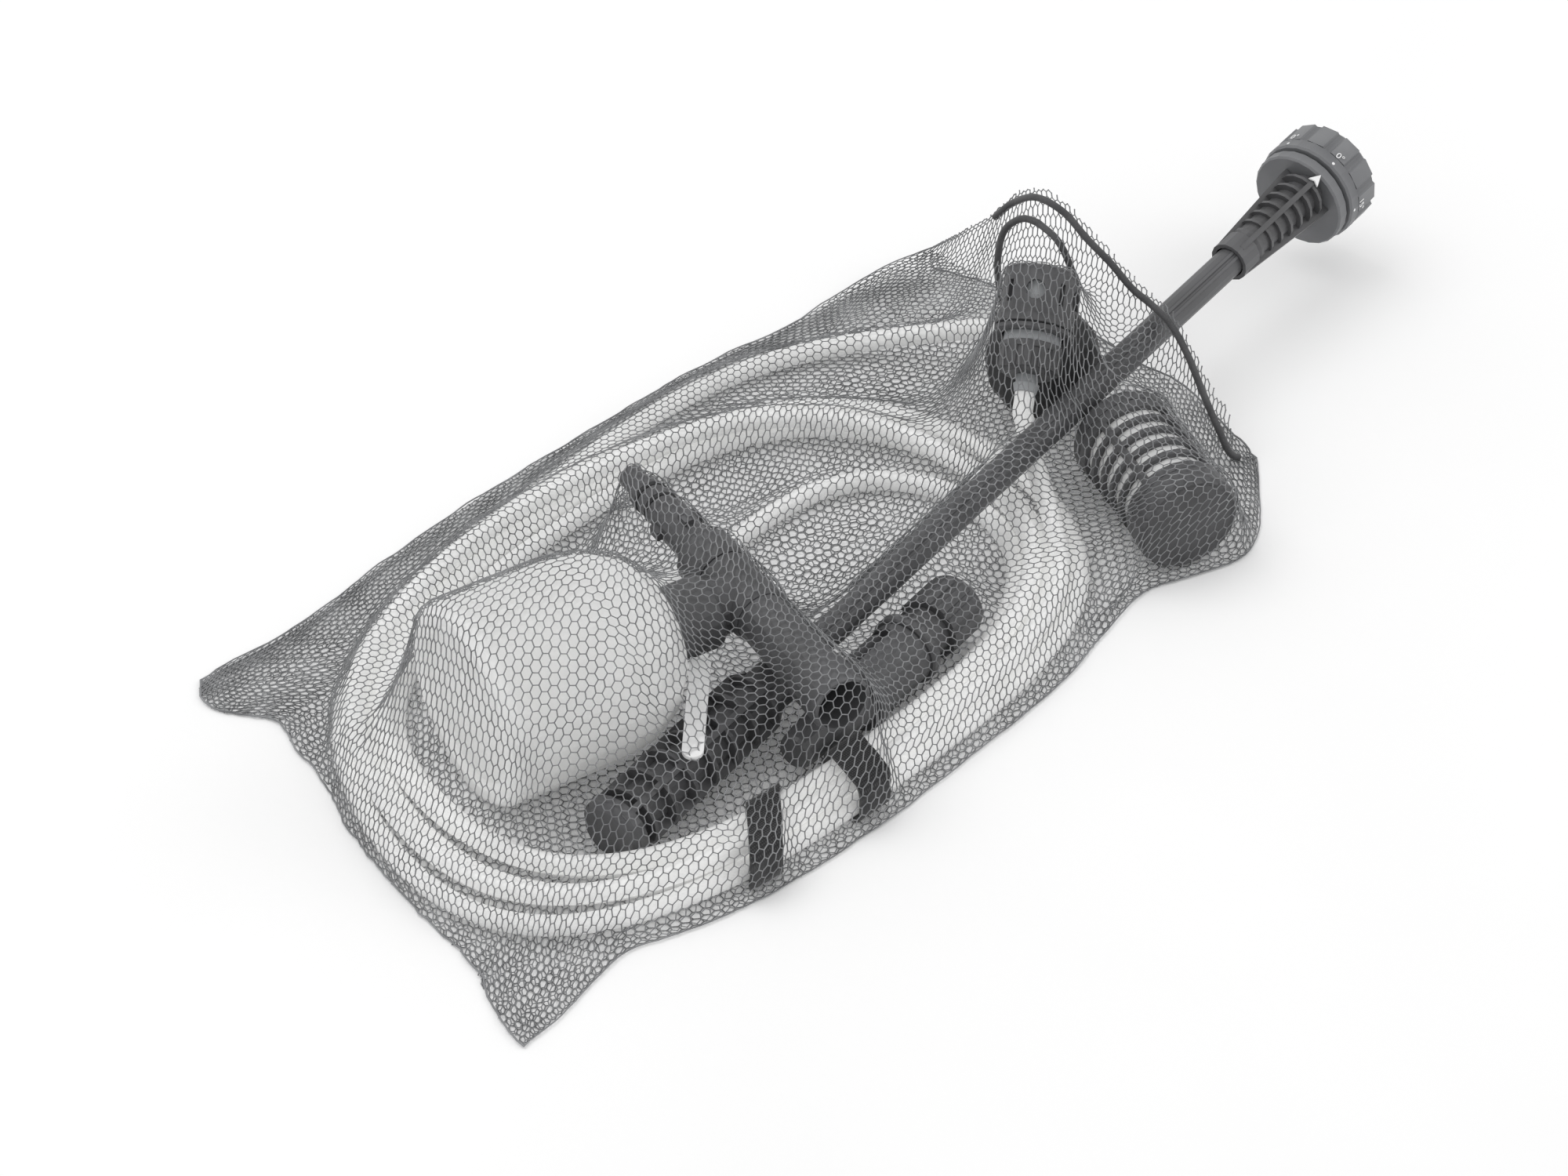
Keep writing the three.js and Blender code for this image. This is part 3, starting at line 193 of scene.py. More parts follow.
def milky(name, dark, light, rough, depth, radius, glow):
    """Milky plastic that lets light in: cloudy wall, soft scatter, faint scuffs.

    The glow is painted light: it brightens the plastic and lifts its shade, standing in for the light that
    its wall passes on from the far side.
    """
    material, tree, shader = new_material(name)
    place = add_node(tree, "ShaderNodeTexCoord").outputs["Object"]
    cloud = add_node(tree, "ShaderNodeTexNoise", Vector=place, Scale=per_mm(45.45), Detail=4.0)
    scuff = add_node(tree, "ShaderNodeTexNoise", Vector=place, Scale=per_mm(2.381), Detail=3.0)
    cloud, scuff = cloud.outputs["Fac"], scuff.outputs["Fac"]
    tree.links.new(mixed(tree, cloud, dark, light), shader.inputs["Base Color"])
    dull = add_node(tree, "ShaderNodeMapRange", Value=scuff, To_Min=rough - 0.07, To_Max=rough + 0.1)
    tree.links.new(dull.outputs["Result"], shader.inputs["Roughness"])
    relief = add_node(tree, "ShaderNodeBump", Height=scuff, Strength=0.25, Distance=0.00003)
    tree.links.new(relief.outputs["Normal"], shader.inputs["Normal"])
    shader.inputs["Subsurface Weight"].default_value = depth
    shader.inputs["Subsurface Radius"].default_value = (radius, radius, radius)
    shader.inputs["Subsurface Scale"].default_value = 1.0
    shader.inputs["Coat Weight"].default_value = 0.15
    # Painted light: the plastic glows in its own pale colour.
    shader.inputs["Emission Color"].default_value = linear(light)
    shader.inputs["Emission Strength"].default_value = glow
    return material


def knitted(name, dark, light, twist=0.3846):
    """Polyester thread: filaments along the strand, darker in the hollows as painted shade, a slight sheen.
    """
    material, tree, shader = new_material(name)
    place = add_node(tree, "ShaderNodeTexCoord").outputs["Object"]
    patch = add_node(tree, "ShaderNodeTexNoise", Vector=place, Scale=per_mm(18.18), Detail=3.0)
    fibre = add_node(tree, "ShaderNodeTexNoise", Vector=place, Scale=per_mm(twist), Detail=2.0)
    patch, fibre = patch.outputs["Fac"], fibre.outputs["Fac"]
    both = add_node(tree, "ShaderNodeMath", {"operation": "MULTIPLY_ADD"})
    tree.links.new(fibre, both.inputs[0])
    both.inputs[1].default_value = 0.5
    tree.links.new(patch, both.inputs[2])
    # The hollows of the filaments are painted darker, as shade, over patches of tone that differ at random.
    tree.links.new(mixed(tree, both.outputs[0], dark, light, 0.55, 0.95), shader.inputs["Base Color"])
    dull = add_node(tree, "ShaderNodeMapRange", Value=fibre, To_Min=0.6, To_Max=0.85)
    tree.links.new(dull.outputs["Result"], shader.inputs["Roughness"])
    shader.inputs["Sheen Weight"].default_value = 0.2
    relief = add_node(tree, "ShaderNodeBump", Height=fibre, Strength=0.6, Distance=0.00008)
    tree.links.new(relief.outputs["Normal"], shader.inputs["Normal"])
    return material


wave_length = 0.314  # a wave texture at scale 1 repeats after this many metres


def woven(name, dark, light, rib):
    """Woven tape: warp and weft ribs so many millimetres apart, with fuzz between them and painted shade in
    the grooves.
    """
    material, tree, shader = new_material(name)
    place = add_node(tree, "ShaderNodeTexCoord").outputs["Object"]
    cross = add_node(tree, "ShaderNodeMath", {"operation": "MULTIPLY"})
    for k, direction in enumerate("XY"):
        ribs = add_node(
            tree, "ShaderNodeTexWave", {"bands_direction": direction},
            Vector=place, Scale=wave_length * per_mm(rib), Distortion=0.6,
        )
        tree.links.new(ribs.outputs["Fac"], cross.inputs[k])
    fuzz = add_node(tree, "ShaderNodeTexNoise", Vector=place, Scale=per_mm(0.6667), Detail=3.0)
    # Painted shade: the tape is darker where the ribs dip.
    tree.links.new(mixed(tree, cross.outputs[0], dark, light, 0.0, 0.9), shader.inputs["Base Color"])
    dull = add_node(tree, "ShaderNodeMapRange", Value=fuzz.outputs["Fac"], To_Min=0.75, To_Max=0.95)
    tree.links.new(dull.outputs["Result"], shader.inputs["Roughness"])
    shader.inputs["Sheen Weight"].default_value = 0.3
    relief = add_node(tree, "ShaderNodeBump", Height=cross.outputs[0], Strength=0.7, Distance=0.0002)
    tree.links.new(relief.outputs["Normal"], shader.inputs["Normal"])
    return material


# Charcoal ABS, moulded: satin, with a grain that only close light shows.
abs_charcoal = moulded("charcoal_abs", "#505051", "#5c5c5e", 0.36, 0.5)
# Grey ABS of the spray head: paler and drier, its grip edges made bright, partly by wear and partly by a
# painted highlight.
abs_head = moulded("grey_abs", "#646568", "#737476", 0.4, 0.52, wear_and_sheen="#acadaf")
# Pale grey ABS of inner parts, which shows in gaps and windows.
abs_pale = moulded("pale_grey_abs", "#9d9fa2", "#aeb1b3", 0.4, 0.55, wear_and_sheen="#ced1d3")
# White ABS: clean and even.
abs_white = moulded("white_abs", "#f6f6f6", "#f6f6f6", 0.35, 0.5, wear_and_sheen="#f6f6f6", wear_and_sheen_amount=0.1)
# Nitrile rubber: nearly black and dull.
nitrile = moulded("black_nitrile", "#2b2b2c", "#363637", 0.55, 0.75, grain=0.6667, wear_and_sheen="#4b4c4f")
# Soft PVC of the hose, extruded: milky, with a soft gloss and a painted glow that lifts its shade.
vinyl = milky("milky_pvc", "#eeeeed", "#f8f8f7", 0.32, 0.6, 0.008, 0.15)
# Blow-moulded polyethylene of the bottle: milky and waxy, with a fainter painted glow.
polyethylene = milky("milky_polyethylene", "#f0f0ef", "#f8f8f7", 0.45, 0.7, 0.014, 0.09)
# Polyester thread of the netting: grey, with a faint sheen.
thread = knitted("polyester_net", "#707173", "#9a9b9d")
# Braided polyester cord: black, with its braid just showing.
cord_cover = knitted("braided_polyester", "#373739", "#59595a", 0.7143)
# Nylon tape, woven: black ribs about a millimetre apart.
webbing = woven("nylon_webbing", "#222224", "#444445", 1.2077)
# Filter gauze: off-white and dry, drawn coarser than it is so that it shows.
gauze = moulded(
    "filter_gauze", "#e8e8e6", "#f6f6f6", 0.6, 0.8, grain=0.4167, depth=0.0001, wear_and_sheen="#f6f6f6",
)
# Printed white ink of the dial: flat and matt.
ink = moulded("white_ink", "#f6f6f6", "#f6f6f6", 0.5, 0.6, wear_and_sheen="#f6f6f6", wear_and_sheen_amount=0.0)

material_of = {
    "strainer_sleeve": gauze, "coupling_tail": abs_pale, "turret_spindle": abs_pale,
    "coupling_seal": nitrile, "inlet_o_ring_1": nitrile, "inlet_o_ring_2": nitrile, "float": nitrile,
    "bottle": polyethylene, "bottle_tab": abs_white, "dip_tube": vinyl,
    "selector_pointer": abs_white, "selector_turret": abs_head, "lance_flange": abs_head,
}
smooth_below = math.radians(32)
for name, node in nodes.items():
    node.data.materials.clear()
    node.data.materials.append(material_of.get(name, abs_charcoal))
    node.data.shade_smooth()
    node.data.set_sharp_from_angle(angle=smooth_below)

# ---------------------------------------------------------------- curves through points

def spline(points, closed=False, steps=24):
    """Centripetal Catmull-Rom curve, sampled densely."""
    p = np.asarray(points, float)
    if closed:
        p = np.vstack([p[-1], p, p[0], p[1]])
    else:
        p = np.vstack([2 * p[0] - p[1], p, 2 * p[-1] - p[-2]])
    out = []
    for a, b, c, d in zip(p, p[1:], p[2:], p[3:]):
        t1 = max(np.linalg.norm(b - a), 1e-6) ** 0.5
        t2 = t1 + max(np.linalg.norm(c - b), 1e-6) ** 0.5
        t3 = t2 + max(np.linalg.norm(d - c), 1e-6) ** 0.5
        t = np.linspace(t1, t2, steps, endpoint=False)[:, None]
        ab = (t1 - t) / t1 * a + t / t1 * b
        bc = (t2 - t) / (t2 - t1) * b + (t - t1) / (t2 - t1) * c
        cd = (t3 - t) / (t3 - t2) * c + (t - t2) / (t3 - t2) * d
        abc = (t2 - t) / t2 * ab + t / t2 * bc
        bcd = (t3 - t) / (t3 - t1) * bc + (t - t1) / (t3 - t1) * cd
        out.append((t2 - t) / (t2 - t1) * abc + (t - t1) / (t2 - t1) * bcd)
    out.append(p[-2][None])
    return np.vstack(out)


def even(line, count):
    """The same line with points the same distance apart."""
    line = np.asarray(line, float)
    run = np.r_[0, np.cumsum(np.linalg.norm(np.diff(line, axis=0), axis=1))]
    at = np.linspace(0, run[-1], count)
    return np.stack([np.interp(at, run, line[:, k]) for k in range(line.shape[1])], 1)


def length_of(line):
    return float(np.linalg.norm(np.diff(line, axis=0), axis=1).sum())


# ---------------------------------------------------------------- the hose

coil_outer = [
    (180, -10), (178, 30), (165, 65), (140, 98), (105, 122), (68, 136), (0, 140), (-51, 138),
    (-110, 128), (-166, 106), (-200, 80), (-215, 55), (-226, 32), (-237, 5), (-243, -20), (-246, -45),
    (-240, -80), (-215, -104), (-196, -113), (-178, -120), (-149, -128.5), (-112, -133.5), (-72, -135),
    (-29, -135), (14, -134.5), (58, -132), (90, -127), (118, -117), (140, -103), (160, -80), (172, -50),
]
coil_inner = [
    (138, 7), (118, 72), (69, 99), (-33, 103), (-135, 87), (-180, 54), (-192, -13), (-172, -78),
    (-123, -104), (-21, -107.5), (81, -90), (126, -60),
]
strainer_lead = [
    (214.15, -37.65, 27.65), (217.6, -29.6, 28.2), (220.4, -24, 29.6), (221, -17.7, 30.2), (221.6, 0, 30.3),
    (222.3, 20, 30.3), (223.1, 39.8, 30.2), (224, 50, 27.8), (222.5, 65, 20), (214, 84, 12), (196, 105, 7.4),
    (168, 124, 6.6), (132, 137, 6.7), (92, 140, 7.6), (50, 139, 8.6), (10, 134.5, 8.6),
]
inner_turn = [
    (143, -40, 9), (143.5, -20, 7.4), (142, 0, 6.6), (134, 22, 6.5), (116, 40, 6.5), (90, 49, 6.5),
    (62, 48, 6.5), (34, 42, 6.5), (6, 36, 6.5), (-22, 38, 6.5), (-48, 50, 6.5), (-74, 68, 7.5),
    (-100, 83, 13.5), (-126, 92, 18.6), (-150, 93, 18.6),
]
coupling_lead = [
    (152, -54, 18.6), (152.5, -44, 20.4), (154, -36.5, 22.6), (158, -30.5, 27.4), (163, -25.5, 33.5),
    (169.1, -22.5, 43.2), (176.8, -17.3, 50.8),
]
hose_radius = 5.0
first_layer = 8.1
second_layer = 17.0

clear_of_edge = 0.05
turn_spacing = 10.15
lowest_centre = 6.4
least_width = 30.8  # three turns side by side

outer_edge = even(spline(coil_outer, closed=True), 1201)[:-1]
inner_edge = even(spline(coil_inner, closed=True), 600)
ahead = np.roll(outer_edge, -6, 0) - np.roll(outer_edge, 6, 0)
inward = np.stack([-ahead[:, 1], ahead[:, 0]], 1) / np.linalg.norm(ahead, axis=1)[:, None]
bundle_width = np.array([np.linalg.norm(inner_edge - p, axis=1).min() for p in outer_edge])
for _ in range(40):
    bundle_width = (np.roll(bundle_width, 8) + bundle_width + np.roll(bundle_width, -8)) / 3
bundle_width = np.maximum(bundle_width, least_width)


def share_at(x, y):
    """How far round the coil the place nearest to this point is."""
    return int(np.argmin(np.hypot(outer_edge[:, 0] - x, outer_edge[:, 1] - y))) / len(outer_edge)


def ease(t, start, end):
    s = np.clip((t - start) / (end - start), 0, 1)
    return s * s * (3 - 2 * s)


def lane(share, across, height):
    """Points of the bundle: how far round, how far across from its outer edge, how high."""
    spot = np.floor(share * len(outer_edge)).astype(int) % len(outer_edge)
    room = bundle_width[spot] - 2 * hose_radius - 2 * clear_of_edge
    depth = hose_radius + clear_of_edge + across * room
    flat = outer_edge[spot] + inward[spot] * depth[:, None]
    return np.column_stack([flat, height])


def lower_turns():
    """Nearly three turns on the ground, each half a bundle further in than the last."""
    start = share_at(10, 140)
    turns = 2 + (share_at(175, -40) - start) % 1
    t = np.arange(0.012, turns, 0.005)
    across = 0.5 * ease(t, 0.86, 0.97) + 0.5 * ease(t, 1.86, 1.97)
    return lane(start + t, across, np.full(len(t), first_layer))


def upper_turns():
    """The turns that lie on top, with a hump where they cross over."""
    start = share_at(-152, 112)
    turns = 1 + (share_at(170, -52) - start) % 1
    t = np.arange(0.02, turns, 0.005)
    across = 0.75 - 0.5 * ease(t, 0.8, 0.93) + 0.2 * ease(t, turns - 0.07, turns)
    hump = 1.4 * ease(t, 0.78, 0.84) * (1 - ease(t, 0.93, 0.98))
    return lane(start + t, across, second_layer + hump)


route = np.vstack([
    spline(strainer_lead)[:-1], lower_turns()[:-6], spline(inner_turn), upper_turns()[6:-4],
    spline(coupling_lead),
])
route = even(route, int(length_of(route) / 5))
held = np.zeros(len(route), bool)
held[:22] = True
held[-3:] = True


def settle(line, rounds):
    """Turns lie beside and on each other: pushed apart where they meet, smoothed in between."""
    line = line.copy()
    n = len(line)
    far_along = np.triu(np.ones((n, n), bool), 6)
    reach = 11
    for _ in range(rounds):
        near = np.abs(line[:, None, 0] - line[None, :, 0]) < reach
        near &= np.abs(line[:, None, 1] - line[None, :, 1]) < reach
        i, j = np.nonzero(near & far_along)
        apart = line[i] - line[j]
        gap = np.maximum(np.linalg.norm(apart, axis=1), 1e-6)
        close = gap < turn_spacing
        i, j, apart, gap = i[close], j[close], apart[close], gap[close]
        push = apart / gap[:, None] * ((turn_spacing - gap) * 0.5)[:, None]
        move = np.zeros_like(line)
        count = np.ones(n)
        np.add.at(move, i, push)
        np.add.at(move, j, -push)
        np.add.at(count, i, 0.5)
        np.add.at(count, j, 0.5)
        line[~held] += (move / count[:, None] * 1.5)[~held]
        soft = line.copy()
        soft[2:-2] = (line[:-4] + 4 * line[1:-3] + 6 * line[2:-2] + 4 * line[3:-1] + line[4:]) / 16
        line[~held] = (0.4 * line + 0.6 * soft)[~held]
        line[:, 2] = np.maximum(line[:, 2], lowest_centre)
    return line


route = settle(route, 90)
hose_path = mm(route)


def tube_curve(name, path, radius, material, around=6):
    data = bpy.data.curves.new(name, "CURVE")
    data.dimensions = "3D"
    data.bevel_depth = radius
    data.bevel_resolution = around
    data.use_fill_caps = True
    line = data.splines.new("POLY")
    line.points.add(len(path) - 1)
    line.points.foreach_set("co", np.column_stack([path, np.ones(len(path))]).ravel())
    line.use_smooth = True
    data.materials.append(material)
    obj = bpy.data.objects.new(name, data)
    bpy.context.collection.objects.link(obj)
    return obj


smooth_path = even(spline(hose_path, steps=3), 2 * len(hose_path))
hose = tube_curve("suction_hose", smooth_path, hose_radius * 0.001, vinyl)
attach(hose, "bag_and_contents")
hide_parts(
    "hose_coil", "hose_strainer_end", "hose_float_end", "hose_coupling_end", "hose_inner_turn",
)

# ---------------------------------------------------------------- the outline of the bag

closed_near, closed_far, mouth_near, mouth_far = (-272, -130), (-206, 156), (265, -92), (268, 128, 14)
closed_side = [
    closed_near, (-269.5, -117), (-260, -93), (-251, -74), (-247, -48), (-242, -20), (-235, 8),
    (-227, 34), (-215, 58), (-210, 77), (-206, 93), (-200, 107), (-206, 120), (-214, 132),
    (-214, 147), closed_far,
]
near_side = [
    closed_near, (-243, -127), (-216, -121.5), (-196, -119.5), (-178, -126), (-149, -135),
    (-112, -141), (-72, -143), (-29, -142.5), (14, -140), (58, -138), (90, -133), (118, -126),
    (138, -121), (156, -121.5), (180, -130.5), (204, -137), (220, -131), (236, -119), (250, -107),
    mouth_near,
]
far_side = [
    closed_far, (-194, 156), (-159, 153), (-123, 154), (-88, 158), (-40, 160), (10, 160), (70, 158),
    (132, 155), (184, 147), (215, 145, 3.5), (243, 139, 9), mouth_far,
]
lip = [
    (265, -92, 1.3), (253, -86, 5), (252, -77, 17), (254, -64, 32), (256, -51, 48), (258, -38, 58),
    (261, -23, 60), (263, -9, 61), (266, 8, 66), (269, 27, 70), (272, 45, 75), (274, 65, 73),
    (276, 83, 59), (276, 98, 40), (273, 114, 25), mouth_far,
]
hem = [mouth_near, (270, -78), (277, -52), (283, -28), (282, 0), (284, 40), (281, 84), (268, 128)]
floor_height = 1.3


def with_height(points, height):
    """The points that have no height of their own get this one."""
    return [(p[0], p[1], p[2] if len(p) > 2 else height) for p in points]


def edge_line(points, height, count):
    """An edge of the bag as so many equal steps."""
    return even(spline(with_height(points, height)), count + 1)


def coons(near, far, closed, mouth):
    """A grid of points stretched between four edges."""
    u = np.linspace(0, 1, len(near))[:, None, None]
    v = np.linspace(0, 1, len(closed))[None, :, None]
    grid = (1 - v) * near[:, None] + v * far[:, None] + (1 - u) * closed[None] + u * mouth[None]
    grid -= (1 - u) * (1 - v) * near[0] + u * (1 - v) * near[-1] + (1 - u) * v * far[0] + u * v * far[-1]
    return grid


# ---------------------------------------------------------------- what lies under the netting

cell = 2.5
low_x, low_y = -290.0, -160.0
across_x, across_y = 236, 136


def places_of(node):
    """The rest place of a piece and, if it slides, its two ends: the net leaves it room."""
    moves = [np.zeros(3)]
    for joint in frame["joints"]:
        if joint["type"] == "slide" and node.parent == frame["bodies"][joint["child"]]:
            moves += [np.array(joint["axis"]) * end for end in joint["range_m"]]
    return moves


def squares(low, high, first, count):
    """The squares of the ground between two places along one of its sides."""
    return range(max(0, int((low - first) / cell)), min(count, int((high - first) / cell) + 2))


def contents_heights():
    """The top of the contents over each small square of the ground."""
    heights = np.full((across_x, across_y), 0.0)
    skip = {"bag_top_panel", "bag_bottom_panel", "drawstring", "drawstring_loop"}
    for name, node in nodes.items():
        if name in skip or name.startswith("hose_"):
            continue
        rest = np.array([v.co for v in node.data.vertices]) - shift
        moves = places_of(node)
        points = np.concatenate([rest + move for move in moves])
        sides = [list(side.vertices) for side in node.data.polygons]
        faces = [[v + k * len(rest) for v in side] for k in range(len(moves)) for side in sides]
        tree = BVHTree.FromPolygons([Vector(p * 1000) for p in points], faces)
        low, high = points.min(0) * 1000, points.max(0) * 1000
        for i in squares(low[0], high[0], low_x, across_x):
            for j in squares(low[1], high[1], low_y, across_y):
                above = Vector((low_x + i * cell, low_y + j * cell, 500))
                hit = tree.ray_cast(above, Vector((0, 0, -1)))[0]
                if hit:
                    heights[i, j] = max(heights[i, j], hit.z)
    near = int(hose_radius / cell) + 1
    for x, y, z in even(route, 3 * len(route)):
        i, j = int(round((x - low_x) / cell)), int(round((y - low_y) / cell))
        for a in range(i - near, i + near + 1):
            for b in range(j - near, j + near + 1):
                away = (low_x + a * cell - x) ** 2 + (low_y + b * cell - y) ** 2
                if away < hose_radius**2 and 0 <= a < across_x and 0 <= b < across_y:
                    heights[a, b] = max(heights[a, b], z + math.sqrt(hose_radius**2 - away))
    return heights


def widened(heights, steps):
    """Each square takes the height of its highest neighbour, so many times."""
    for _ in range(steps):
        grown = heights.copy()
        for axis in (0, 1):
            for step in (-1, 1):
                grown = np.maximum(grown, np.roll(heights, step, axis))
        heights = grown
    return heights


def bridged(heights, steps):
    """The taut net spans a narrow gap: heights grow by some squares and shrink back by as many."""
    grown = widened(heights, steps)
    return np.maximum(heights, -widened(-grown, steps))


net_clearance = 1.4
least_lift = 0.6
under = widened(bridged(contents_heights(), 3), 1) + net_clearance


def height_under(x, y):
    """How low the netting can hang at these places."""
    i = np.clip((x - low_x) / cell, 0, across_x - 1.001)
    j = np.clip((y - low_y) / cell, 0, across_y - 1.001)
    a, b = i.astype(int), j.astype(int)
    s, r = i - a, j - b
    height = (1 - s) * (1 - r) * under[a, b] + s * (1 - r) * under[a + 1, b]
    height = height + (1 - s) * r * under[a, b + 1] + s * r * under[a + 1, b + 1]
    return np.maximum(height, floor_height + least_lift)


# ---------------------------------------------------------------- the netting falls over the contents

columns, rows = 150, 86
slack = 1.02
first_wrinkles = 0.9
fall_steps = 260
kept_speed, weight, top_speed = 0.96, 0.05, 0.5
slant_pull, stiffness = 0.08, 0.06


def every_other(count, begin):
    """Every second gap between threads: the threads before it and the threads after it."""
    last = count - (count - begin) % 2
    return slice(begin, last, 2), slice(begin + 1, last + 1, 2)


def drape():
    """Netting held along its edges, let down on the contents with some slack, so that it wrinkles."""
    near = edge_line(near_side, floor_height, columns)
    far = edge_line(far_side, floor_height, columns)
    closed = edge_line(closed_side, floor_height, rows)
    mouth = even(spline(lip), rows + 1)
    cloth = coons(near, far, closed, mouth)
    floor = height_under(cloth[..., 0], cloth[..., 1])
    inner = (slice(1, -1), slice(1, -1))
    for _ in range(500):
        mean = (cloth[2:, 1:-1, 2] + cloth[:-2, 1:-1, 2] + cloth[1:-1, 2:, 2] + cloth[1:-1, :-2, 2]) / 4
        cloth[..., 2][inner] = np.maximum(mean, floor[inner])
    rest_long = np.linalg.norm(np.diff(cloth, axis=0), axis=2)
    rest_wide = np.linalg.norm(np.diff(cloth, axis=1), axis=2)
    gathers = 1 + 0.06 * np.exp(-np.linspace(0, 1, columns + 1) / 0.05)[:, None]
    rest_long = (0.3 * rest_long + 0.7 * rest_long.mean(0)) * slack
    rest_wide = (0.3 * rest_wide + 0.7 * rest_wide.mean(1)[:, None]) * slack * gathers
    cross = np.hypot(rest_long[:, :-1], rest_wide[:-1])
    free = np.zeros(cloth.shape[:2])
    free[inner] = 1
    stir = rng.normal(0, 1, cloth.shape[:2])
    for _ in range(6):
        stir = (np.roll(stir, 1, 0) + np.roll(stir, -1, 0) + np.roll(stir, 1, 1) + np.roll(stir, -1, 1)) / 4
    cloth[..., 2] += free * stir / stir.std() * first_wrinkles
    speed = np.zeros_like(cloth)

    def pull(a, b, rest, firm):
        """Brings neighbouring points towards their own distance."""
        line = cloth[b] - cloth[a]
        far_off = np.linalg.norm(line, axis=2)
        give = free[a] + free[b]
        move = line * (firm * (far_off - rest) / np.maximum(far_off, 1e-6) / np.maximum(give, 1))[..., None]
        cloth[a] += move * free[a][..., None]
        cloth[b] -= move * free[b][..., None]

    every = slice(None)
    one, other = slice(0, -1, 2), slice(1, None, 2)
    third, fourth = slice(1, -1, 2), slice(2, None, 2)
    for _ in range(fall_steps):
        before = cloth.copy()
        cloth[...] += speed * kept_speed * free[..., None]
        cloth[..., 2] -= weight * free
        for begin in (0, 1):
            before_gap, after_gap = every_other(columns, begin)
            pull((before_gap, every), (after_gap, every), rest_long[before_gap], 1)
            before_gap, after_gap = every_other(rows, begin)
            pull((every, before_gap), (every, after_gap), rest_wide[:, before_gap], 1)
        pull((one, one), (other, other), cross[::2, ::2], slant_pull)
        pull((one, other), (other, one), cross[::2, ::2], slant_pull)
        pull((third, third), (fourth, fourth), cross[1::2, 1::2], slant_pull)
        pull((third, fourth), (fourth, third), cross[1::2, 1::2], slant_pull)
        mean = (cloth[2:, 1:-1] + cloth[:-2, 1:-1] + cloth[1:-1, 2:] + cloth[1:-1, :-2]) / 4
        cloth[inner] += (mean - cloth[inner]) * stiffness
        resting = np.maximum(cloth[..., 2], height_under(cloth[..., 0], cloth[..., 1]))
        cloth[..., 2] = np.where(free > 0, resting, cloth[..., 2])
        speed = np.clip(cloth - before, -top_speed, top_speed)
    return cloth


def with_fringe(cloth, width, steps=3):
    """The edge of the mouth stands a little beyond its drawstring."""
    out = cloth[-1] - cloth[-4]
    out += [1.5, 0, 0]
    out /= np.linalg.norm(out, axis=1)[:, None]
    taper = np.sin(np.linspace(0, math.pi, rows + 1))[:, None] ** 0.3
    flare = np.sin(np.arange(rows + 1) * 0.9)[:, None] * [0, 0.3, 0.5]
    ear = 1 + 1.3 * np.exp(-((np.linspace(0, 1, rows + 1) - 0.1) / 0.07) ** 2)[:, None]
    more = [cloth[-1] + (out * width * ear + flare) * taper * (k + 1) / steps for k in range(steps)]
    return np.concatenate([cloth, np.array(more)])


def evened(panel, share):
    """Slides the cloth along itself until its cells are alike, wholly so at a share of 1."""
    for _ in range(2):
        for i, line in enumerate(panel):
            run = np.r_[0, np.cumsum(np.linalg.norm(np.diff(line, axis=0), axis=1))]
            at = np.linspace(0, 1, len(line))
            wanted = share * at + (1 - share) * run / run[-1]
            panel[i] = np.array([np.interp(wanted, run / run[-1], line[:, k]) for k in range(3)]).T
        panel = panel.transpose(1, 0, 2)
    return panel


fringe_width = 7.0
hem_height = 0.5
upper_panel = with_fringe(evened(drape(), 0.85), fringe_width)
lower_panel = coons(
    edge_line(near_side, hem_height, columns), edge_line(far_side, hem_height, columns),
    edge_line(closed_side, hem_height, rows), edge_line(hem, hem_height, rows),
)
rise = np.maximum(edge_line(far_side, floor_height, columns)[:, 2] - floor_height, 0)
lower_panel[..., 2] = hem_height + rise[:, None] * np.linspace(0, 1, rows + 1)[None] ** 8

# ---------------------------------------------------------------- knitting it

pitch = 5.15
strand = 0.31
knot = 0.51


def lattice(long, wide, angle_shift):
    """Corners and strands of the hexagonal mesh on the flat cut, skewed as it was pulled."""
    high = pitch * math.sqrt(3) / 2
    side = pitch / math.sqrt(3)
    count_j = int(wide / high) + 3
    count_i = int(long / pitch) + int(wide * 0.9 / pitch) + 6
    j, i = np.meshgrid(np.arange(-1, count_j), np.arange(-int(wide * 0.9 / pitch) - 3, count_i))
    y = j * high
    x = i * pitch + j * pitch / 2 + angle_shift * y
    first = np.stack([x, y - side / 2], 2)
    second = np.stack([x + angle_shift * side, y + side / 2], 2)
    n_i, n_j = i.shape
    index = np.arange(n_i * n_j).reshape(n_i, n_j)
    points = np.vstack([first.reshape(-1, 2), second.reshape(-1, 2)])
    upper = index + n_i * n_j
    links = [np.stack([upper, index], 2).reshape(-1, 2)]
    links.append(np.stack([upper[:, :-1], index[:, 1:]], 2).reshape(-1, 2))
    links.append(np.stack([upper[1:, :-1], index[:-1, 1:]], 2).reshape(-1, 2))
    links = np.vstack(links)
    inside = (points[:, 0] >= 0) & (points[:, 0] <= long) & (points[:, 1] >= 0) & (points[:, 1] <= wide)
    links = links[inside[links[:, 0]] & inside[links[:, 1]]]
    return points, links


def gathered(*bunches):
    """The way from the cut to the panel where cloth is bunched: (place, width, extra cloth) each."""
    at = np.linspace(0, 1, 500)
    density = 1 + sum(extra * np.exp(-((at - place) / width) ** 2) for place, width, extra in bunches)
    run = np.r_[0, np.cumsum((density[1:] + density[:-1]) / 2)]
    return at, run / run[-1], float(density.mean())


def mean_size(panel):
    """How long and how wide a panel is, on average, along its own surface."""
    long = np.linalg.norm(np.diff(panel, axis=0), axis=2).sum(0).mean()
    wide = np.linalg.norm(np.diff(panel, axis=1), axis=2).sum(1).mean()
    return float(long), float(wide)


